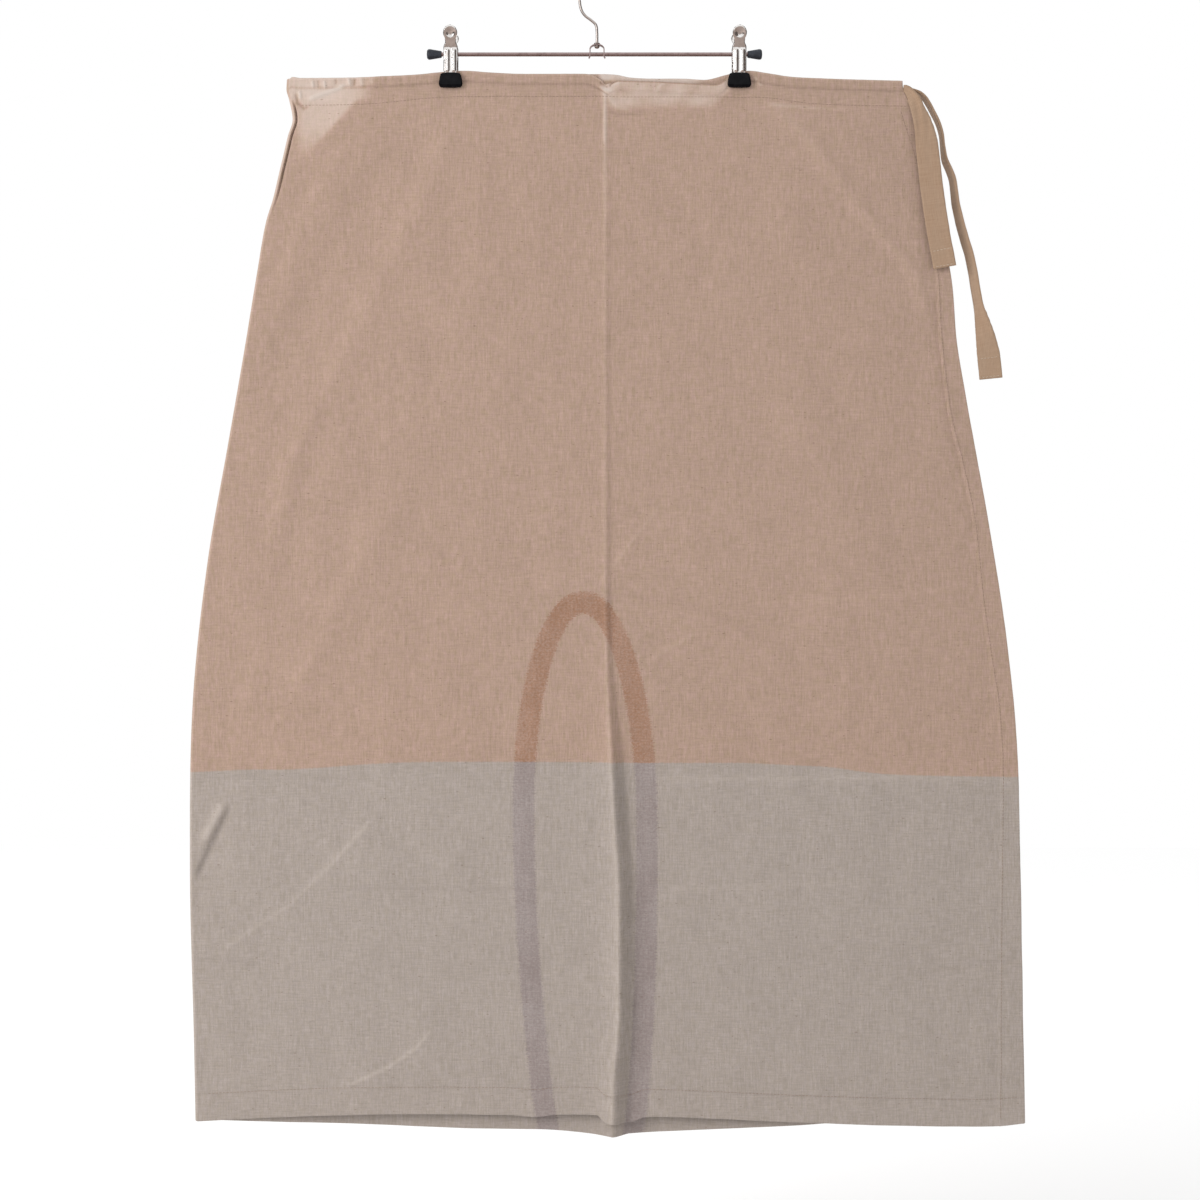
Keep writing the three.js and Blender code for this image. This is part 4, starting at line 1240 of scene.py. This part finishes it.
BAR_Z = -0.067
BAR_RADIUS = 0.0018
BAR_ENDS = {"left": -0.1506, "right": 0.1461}
CLIP_X = {"left": -0.1314, "right": 0.1278}
WIRE_RADIUS = 0.0012
LOOP_RADIUS = 0.016
SADDLE_CREST_Z = -0.0583
SADDLE_HALF_SPAN = 0.0063
SADDLE_DEPTH = 0.0045
SHEET = 0.0009
LEAF_HALF_WIDTH = 0.0063
HEAD_Z = 0.0168
HEAD_RADIUS = 0.0063
TIP_TOP = -0.0173
TIP_BOTTOM = -0.031
TIP_INNER = 0.00288
TIP_OUTER = 0.0072

# The leaf's section from its foot to its head, as (height, distance out from the bar)
LEAF_PATH = [
    (-0.0284, 0.0046), (-0.01, 0.0046), (0.0, 0.0046), (0.0045, 0.0049), (0.0094, 0.0066),
    (0.0142, 0.0094), (0.0231, 0.0124),
]


def ring_faces(rings, sides, closed=False):
    faces = []
    for r in range(rings if closed else rings - 1):
        for k in range(sides):
            a, b = r * sides + k, r * sides + (k + 1) % sides
            c, d = ((r + 1) % rings) * sides + (k + 1) % sides, ((r + 1) % rings) * sides + k
            faces.append((a, b, c, d))
    return faces


def tube(name, path, radius, sides=18):
    """A round wire along a path, with rounded ends."""
    along = np.gradient(path, axis=0)
    along /= np.linalg.norm(along, axis=1, keepdims=True)
    side = np.cross(along[0], [0.02, 1.0, 0.03])
    side /= np.linalg.norm(side)
    turn = np.linspace(0, 2 * math.pi, sides, endpoint=False)
    rings = []
    sizes = [(0, -1.0, 0.05), (0, -0.93, 0.4), (0, -0.7, 0.72), (0, -0.35, 0.94)]
    stations = sizes + [(i, 0.0, 1.0) for i in range(len(path))]
    stations += [(len(path) - 1, -push, size) for _, push, size in sizes[::-1]]
    for i, push, size in stations:
        side = side - along[i] * np.dot(side, along[i])
        side /= np.linalg.norm(side)
        other = np.cross(along[i], side)
        centre = path[i] + along[i] * push * radius
        ring = np.outer(np.cos(turn), side) + np.outer(np.sin(turn), other)
        rings.append(centre + ring * radius * size)
    faces = ring_faces(len(rings), sides)
    faces.append(tuple(range(sides))[::-1])
    faces.append(tuple(range((len(rings) - 1) * sides, len(rings) * sides)))
    return plain_object(name, np.vstack(rings), faces)


def lathe(name, profile, place, direction, sides=40):
    """A profile of (along, radius) pairs turned round an axis through place."""
    direction = np.array(direction, float)
    side = np.cross(direction, [0, 1, 0])
    side /= np.linalg.norm(side)
    other = np.cross(direction, side)
    turn = np.linspace(0, 2 * math.pi, sides, endpoint=False)
    circle = np.outer(np.cos(turn), side) + np.outer(np.sin(turn), other)
    rings = [np.array(place) + direction * a + circle * r for a, r in profile]
    faces = ring_faces(len(rings), sides)
    faces.append(tuple(range(sides))[::-1])
    faces.append(tuple(range((len(rings) - 1) * sides, len(rings) * sides)))
    return plain_object(name, np.vstack(rings), faces)


def rounded_profile(points, corner, steps=4):
    """A profile with each inner corner replaced by a short curve."""
    out = [points[0]]
    for before, here, after in zip(points, points[1:], points[2:]):
        before, here, after = (np.array(p, float) for p in (before, here, after))
        reach_in = min(corner, np.linalg.norm(here - before) / 2)
        reach_out = min(corner, np.linalg.norm(after - here) / 2)
        start = here + (before - here) / np.linalg.norm(before - here) * reach_in
        end = here + (after - here) / np.linalg.norm(after - here) * reach_out
        for t in np.linspace(0, 1, steps + 1):
            out.append(tuple((1 - t) ** 2 * start + 2 * t * (1 - t) * here + t**2 * end))
    return out + [points[-1]]


def make_hook(material):
    points = [(0, 0, SADDLE_CREST_Z - 0.0024), (0, 0, -0.048), (-0.001, 0, -0.0406)]
    points += [(-0.0054, 0, -0.0362), (-0.011, 0, -0.0318), (-0.0146, 0, -0.0254)]
    centre = WIRE_RADIUS - LOOP_RADIUS
    for degrees in range(180, 4, -15):
        a = math.radians(degrees)
        points.append((LOOP_RADIUS * math.cos(a), 0, centre + LOOP_RADIUS * math.sin(a)))
    hook = tube("swivel_hook_wire", spline_points(points, 150), WIRE_RADIUS)
    finish_piece(hook, "hook", material)
    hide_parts("swivel_hook")
    top = SADDLE_CREST_Z - 0.0013
    profile = [(0, 0.0001), (0, 0.0016), (0.0012, 0.0024), (0.002, 0.0024), (0.002, 0.0001)]
    head = lathe("hook_peened_end", rounded_profile(profile, 0.0006), (0, 0, top - 0.002), (0, 0, 1))
    finish_piece(head, "hook", material)
    profile = [(0, 0.0013), (0, 0.0027), (0.0007, 0.0027), (0.0012, 0.0013)]
    washer = lathe(
        "hook_collar", rounded_profile(profile, 0.0003), (0, 0, SADDLE_CREST_Z + 0.0007), (0, 0, 1)
    )
    finish_piece(washer, "hook", material)


def make_saddle(material):
    """A thin strap bent into a stirrup. Its feet hook round the bar."""
    bend = 0.0042
    crest = SADDLE_CREST_Z
    right = [(SADDLE_HALF_SPAN + 0.0011, BAR_Z - 0.0034), (SADDLE_HALF_SPAN + 0.0003, BAR_Z - 0.0024)]
    right += [(SADDLE_HALF_SPAN, BAR_Z - 0.0008), (SADDLE_HALF_SPAN, crest - bend)]
    for degrees in (15, 30, 45, 60, 75, 90):
        a = math.radians(degrees)
        right.append((SADDLE_HALF_SPAN * math.cos(a), crest - bend + bend * math.sin(a)))
    left = [(-x, z) for x, z in right[::-1][1:]]
    path = spline_points([(x, 0, z) for x, z in right + left], 70)
    rows = []
    for t in np.linspace(-1, 1, 9):
        row = path.copy()
        narrow = 1 - 0.25 * fade(np.abs(row[:, 0]), 0.004, 0.0063)
        row[:, 1] = t * SADDLE_DEPTH / 2 * narrow
        rows.append(row)
    strap = grid_object("saddle_strap", np.stack(rows, axis=0))
    thicken(strap, 0.001)
    bevel = strap.modifiers.new("edges", "BEVEL")
    bevel.width = 0.0002
    bevel.segments = 2
    finish_piece(strap, "hanger", material)
    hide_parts("saddle")


def make_bar(material):
    left, right = BAR_ENDS["left"], BAR_ENDS["right"]
    path = np.linspace((left, 0, BAR_Z), (right, 0, BAR_Z), 40)
    bar = tube("crossbar_rod", path, BAR_RADIUS, 28)
    finish_piece(bar, "hanger", material)
    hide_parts("crossbar")


def make_end_cap(hand, material):
    out = -1 if hand == "left" else 1
    profile = [(-0.0108, 0.0021), (-0.0108, 0.0029), (-0.0098, 0.0031), (-0.0008, 0.0046)]
    profile += [(0.0009, 0.0047), (0.0022, 0.0036), (0.0026, 0.0001)]
    cap = lathe(
        f"{hand}_end_cap_rubber", rounded_profile(profile, 0.0006), (BAR_ENDS[hand], 0, BAR_Z),
        (out, 0, 0),
    )
    finish_piece(cap, "hanger", material)
    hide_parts(f"{hand}_end_cap")


leaf_out = curve_of(LEAF_PATH)


def leaf_half_width(h):
    """Half the leaf's width at each height: foot, body, neck and round head."""
    body = LEAF_HALF_WIDTH - 0.0008 * (1 - fade(h, TIP_TOP, TIP_TOP + 0.002))
    neck = 0.0047
    body = body + (neck - body) * fade(h, 0.0055, 0.0098)
    rise = np.clip((h - HEAD_Z) / HEAD_RADIUS, -1, 1)
    head = HEAD_RADIUS * np.sqrt(1 - rise**2)
    soft = np.log(np.exp(body * 4000) + np.exp(head * 4000)) / 4000 - 0.00005
    return np.where(h > HEAD_Z, head, np.where(h > 0.008, soft, body))


def leaf_stamping(x, h):
    """How far the sheet is pressed outwards: two round channels, a dished head and a rolled rim."""
    away = np.clip((np.abs(x) - 0.0029) / 0.0026, -1, 1)
    channel = 0.5 + 0.5 * np.cos(math.pi * away)
    ends = fade(h, TIP_TOP, TIP_TOP + 0.0014) * (1 - fade(h, 0.0022, 0.0046))
    r = np.hypot(x, (h - HEAD_Z) * 1.04)
    dish = -0.0013 * (1 - smooth_step((r - 0.0012) / 0.0034))
    rim = 0.0003 * np.exp(-(((r - 0.0053) / 0.0007) ** 2))
    return 0.0011 * channel * ends + (dish + rim) * fade(h, 0.009, 0.0115)


def make_leaf(hand, face, material):
    """face is "front" or "rear"."""
    sign = -1 if face == "front" else 1
    h = np.concatenate([
        np.linspace(-0.0284, 0.005, 40, endpoint=False), np.linspace(0.005, 0.0225, 46),
        [0.02285, 0.02305, 0.0231],
    ])
    half = np.maximum(leaf_half_width(h), 0.0002)
    s = np.sin(np.linspace(-1, 1, 41) * math.pi / 2 * 0.97) / math.sin(math.pi / 2 * 0.97)
    x = half[:, None] * s[None, :]
    height = np.broadcast_to(h[:, None], x.shape)
    out = leaf_out(height) + SHEET / 2 + leaf_stamping(x, height)
    rolled = fade(np.abs(s)[None, :], 0.86, 1.0)
    out = out - 0.0009 * rolled * (1 - 0.6 * fade(height, 0.008, 0.014))
    places = np.stack([x + CLIP_X[hand], sign * out, height + BAR_Z], axis=2)
    leaf = grid_object(f"{hand}_{face}_leaf_sheet", places if sign > 0 else places[:, ::-1])
    thicken(leaf, SHEET * 0.8)
    leaf.modifiers["thickness"].use_even_offset = True
    body = f"{hand}_{face}_jaw"
    finish_piece(leaf, body, material)
    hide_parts(f"{hand}_{face}_leaf")
    outer = 0.0062 if face == "front" else 0.005
    for ear_side in (-1, 1):
        make_ear(hand, face, sign, ear_side, outer, material)


def make_ear(hand, face, sign, ear_side, outer, material):
    """A rounded flange from the leaf back round the bar, with a hole for it."""
    hole = BAR_RADIUS + 0.0004
    reach, above, below, thick = 0.0051, 0.0052, 0.0078, 0.0008
    round_size, corner_size = 0.0039, 0.0088
    outline = []
    turns = np.radians(np.linspace(0, 360, 48, endpoint=False))
    for a in turns:
        y, z = math.cos(a), math.sin(a)
        size = round_size
        if y > 0:
            size = min(reach / max(y, 1e-6), (above if z > 0 else below) / max(abs(z), 1e-6))
            size = max(min(size, corner_size), round_size)
        outline.append((y * size, z * size))
    outline = np.array(outline)
    inner = np.stack([np.cos(turns), np.sin(turns)], axis=1) * hole
    centre = np.array([CLIP_X[hand], 0, BAR_Z])
    rings = []
    for x, line in ((outer, inner), (outer, outline), (outer - thick, outline), (outer - thick, inner)):
        ring = np.stack([np.full(len(line), ear_side * x), sign * line[:, 0], line[:, 1]], axis=1)
        rings.append(ring + centre)
    ear = plain_object(
        f"{hand}_{face}_ear_{'left' if ear_side < 0 else 'right'}", np.vstack(rings),
        ring_faces(4, len(turns), closed=True), smooth=False,
    )
    bevel = ear.modifiers.new("edges", "BEVEL")
    bevel.width = 0.00016
    bevel.segments = 2
    bevel.limit_method = "ANGLE"
    finish_piece(ear, f"{hand}_{face}_jaw", material)


def tip_ring(t, around):
    """The tip's outline at share t of its height: across, out from the bar, and height."""
    upper = t < 0.5
    near = min(t, 1 - t)
    corner = 0.14 if upper else 0.26
    soft = math.sqrt(max(1 - (1 - min(near / corner, 1)) ** 2, 0.0))
    half_width = 0.0087 + 0.0021 * t + 0.0005 * math.sin(math.pi * t)
    half_width -= (0.0012 if upper else 0.003) * (1 - soft)
    depth = (TIP_OUTER - TIP_INNER) / 2
    half_depth = depth * (0.62 + 0.38 * soft) * (0.9 + 0.1 * math.sin(math.pi * t))
    centre = (TIP_INNER + TIP_OUTER) / 2 - (depth - half_depth) * 0.75
    sag = 0.0006 * around[0] ** 2 * (1 if upper else -0.3) * (1 - near / 0.5)
    height = TIP_TOP + t * (TIP_BOTTOM - TIP_TOP) - sag
    return half_width * around[0], centre + half_depth * around[1], height


def make_tip(hand, face, material):
    """A dipped vinyl tip: wider below, soft at every edge, its gripping side flat."""
    sign = -1 if face == "front" else 1
    sides, squareness = 56, 0.5
    turn = np.linspace(0, 2 * math.pi, sides, endpoint=False)
    c, s = np.cos(turn), np.sin(turn)
    around = np.sign(c) * np.abs(c) ** squareness, np.sign(s) * np.abs(s) ** squareness
    stations = [np.linspace(0, 0.1, 6), np.linspace(0.14, 0.86, 14), np.linspace(0.9, 1, 7)]
    rings = []
    for t in np.concatenate(stations):
        across, out, height = tip_ring(t, around)
        rings.append(np.stack([CLIP_X[hand] + across, sign * out, BAR_Z + height], axis=1))
    count = len(rings)
    last = (count - 1) * sides
    vertices = np.vstack(rings + [rings[0].mean(axis=0)[None], rings[-1].mean(axis=0)[None]])
    faces = ring_faces(count, sides)
    for k in range(sides):
        after = (k + 1) % sides
        faces.append((count * sides, after, k))
        faces.append((count * sides + 1, last + k, last + after))
    tip = plain_object(f"{hand}_{face}_tip_vinyl", vertices, faces)
    tip.modifiers.new("smooth", "SUBSURF").levels = 1
    finish_piece(tip, f"{hand}_{face}_jaw", material)
    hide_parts(f"{hand}_{face}_tip")


def make_spring(hand, material):
    length, radius, turns = 0.0032, 0.00275, 4.5
    leg_y, leg_top = 0.0029, 0.008
    points = [(-length, -leg_y, leg_top), (-length, -leg_y, leg_top / 2)]
    for i in range(int(turns * 12) + 1):
        a = math.pi + i / 12 * 2 * math.pi
        x = length * (2 * i / (turns * 12) - 1)
        points.append((x, radius * math.cos(a), radius * math.sin(a)))
    points += [(length, leg_y, leg_top / 2), (length, leg_y, leg_top)]
    path = spline_points(points, 260) + [CLIP_X[hand], 0, BAR_Z]
    spring = tube(f"{hand}_spring_coil", path, 0.0004, 10)
    finish_piece(spring, f"{hand}_clip", material)
    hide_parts(f"{hand}_spring")


# ---- Metal, vinyl and rubber ------------------------------------------------------------------


def object_place(n, scale):
    return n.stretched(n.new("ShaderNodeTexCoord").outputs["Object"], scale)


def make_metal(name, colour, dark, roughness, grain):
    """Worn metal: brushed along X, with faint stains and uneven gloss."""
    n = Nodes(name)
    brushed = n.noise(object_place(n, (60, 900, 900)), detail=2)
    stains = n.noise(object_place(n, (260, 260, 260)), detail=4, roughness=0.65)
    n.set(Metallic=1.0)
    n.set(Base_Color=n.mix(n.remap(stains, 0.5, 0.75), colour, dark))
    n.set(Roughness=n.remap(stains, 0.3, 0.8, roughness * 0.8, roughness * 1.6))
    n.set(Normal=n.bump(n.math("ADD", brushed, stains), grain, 0.2))
    return n.material


def make_vinyl():
    n = Nodes("tip_vinyl")
    pits = n.noise(object_place(n, (700, 700, 700)), detail=3)
    dull = n.noise(object_place(n, (160, 160, 160)), detail=3)
    n.set(Base_Color=n.mix(n.remap(dull, 0.4, 0.7), (0.002, 0.0022, 0.003, 1), (0.005, 0.005, 0.006, 1)))
    n.set(Roughness=n.remap(dull, 0.3, 0.7, 0.08, 0.2))
    n.set(Specular_IOR_Level=0.1)
    n.set(Normal=n.bump(n.math("MULTIPLY_ADD", dull, 4.0, pits), 0.00004, 0.5))
    return n.material


def make_rubber():
    n = Nodes("cap_rubber")
    grain = n.noise(object_place(n, (1500, 1500, 1500)), detail=3)
    bloom = n.noise(object_place(n, (240, 240, 240)), detail=3)
    colour = n.mix(n.remap(bloom, 0.4, 0.75), (0.012, 0.015, 0.022, 1), (0.03, 0.036, 0.048, 1))
    n.set(Base_Color=colour, Roughness=n.remap(grain, 0.3, 0.7, 0.45, 0.65))
    n.set(Specular_IOR_Level=0.4, Normal=n.bump(grain, 0.00008, 0.6))
    return n.material


def make_card(name, corners, tone):
    """A dark card that only mirror-like surfaces show, as a dim part of a studio does."""
    card = mesh_object(name, corners, [(0, 1, 2, 3)], smooth=False)
    card.visible_camera = False
    card.visible_diffuse = False
    card.visible_shadow = False
    n = Nodes(name)
    n.set(Base_Color=(tone, tone * 0.82, tone * 0.74, 1), Roughness=1.0, Specular_IOR_Level=0.0)
    card.data.materials.append(n.material)


def make_cards():
    """A dim floor and dim sides, for the chrome to show."""
    low, high, half_depth = FLOOR_Z + 0.02, 2.6, 3.0
    make_card("floor_card", level_corners(5.0, 7.0, low), 0.34)
    for name, x in (("left_card", -2.2), ("right_card", 2.2)):
        near, far = -half_depth, half_depth
        make_card(name, [(x, near, low), (x, far, low), (x, far, high), (x, near, high)], 0.1)


def make_hanger():
    chrome = make_metal("clip_chrome", (0.86, 0.84, 0.82, 1), (0.66, 0.6, 0.56, 1), 0.14, 0.000004)
    steel = make_metal("bar_steel", (0.36, 0.27, 0.26, 1), (0.24, 0.17, 0.16, 1), 0.28, 0.00001)
    wire = make_metal("hook_wire", (0.52, 0.47, 0.44, 1), (0.38, 0.32, 0.29, 1), 0.25, 0.000004)
    spring = make_metal("spring_wire", (0.6, 0.58, 0.56, 1), (0.4, 0.36, 0.33, 1), 0.25, 0.000004)
    vinyl, rubber = make_vinyl(), make_rubber()
    make_hook(wire)
    make_saddle(steel)
    make_bar(steel)
    for hand in CLIP_X:
        make_end_cap(hand, rubber)
        make_spring(hand, spring)
        for face in ("front", "rear"):
            make_leaf(hand, face, chrome)
            make_tip(hand, face, vinyl)


# ---- Putting it together ----------------------------------------------------------------------

make_camera()
tape_material = make_tape_material()
front_tie = make_tie(
    "front_tie", FRONT_TIE, FRONT_TIE_FOLD, FRONT_TIE_ROLL, steps=120, hem_length=0.017,
    droop=0.0045, material=tape_material,
)
back_tie = make_tie(
    "back_tie", BACK_TIE, BACK_TIE_FOLD, BACK_TIE_ROLL, steps=170, hem_length=0.02,
    droop=0.005, material=tape_material,
)
make_light()
make_floor()
apron, front_side, back_side = make_apron(make_cloth_material())
thread = make_thread_material("cloth_thread", (138, 112, 95), (162, 138, 120))
tie_thread = make_thread_material("tie_thread", (206, 184, 162), (226, 208, 190))
make_stitching(front_side, back_side, thread)
make_tie_stitching([front_tie, back_tie], tie_thread)
make_casing_tape(front_side, back_side, tape_material)
make_hanger()
make_cards()
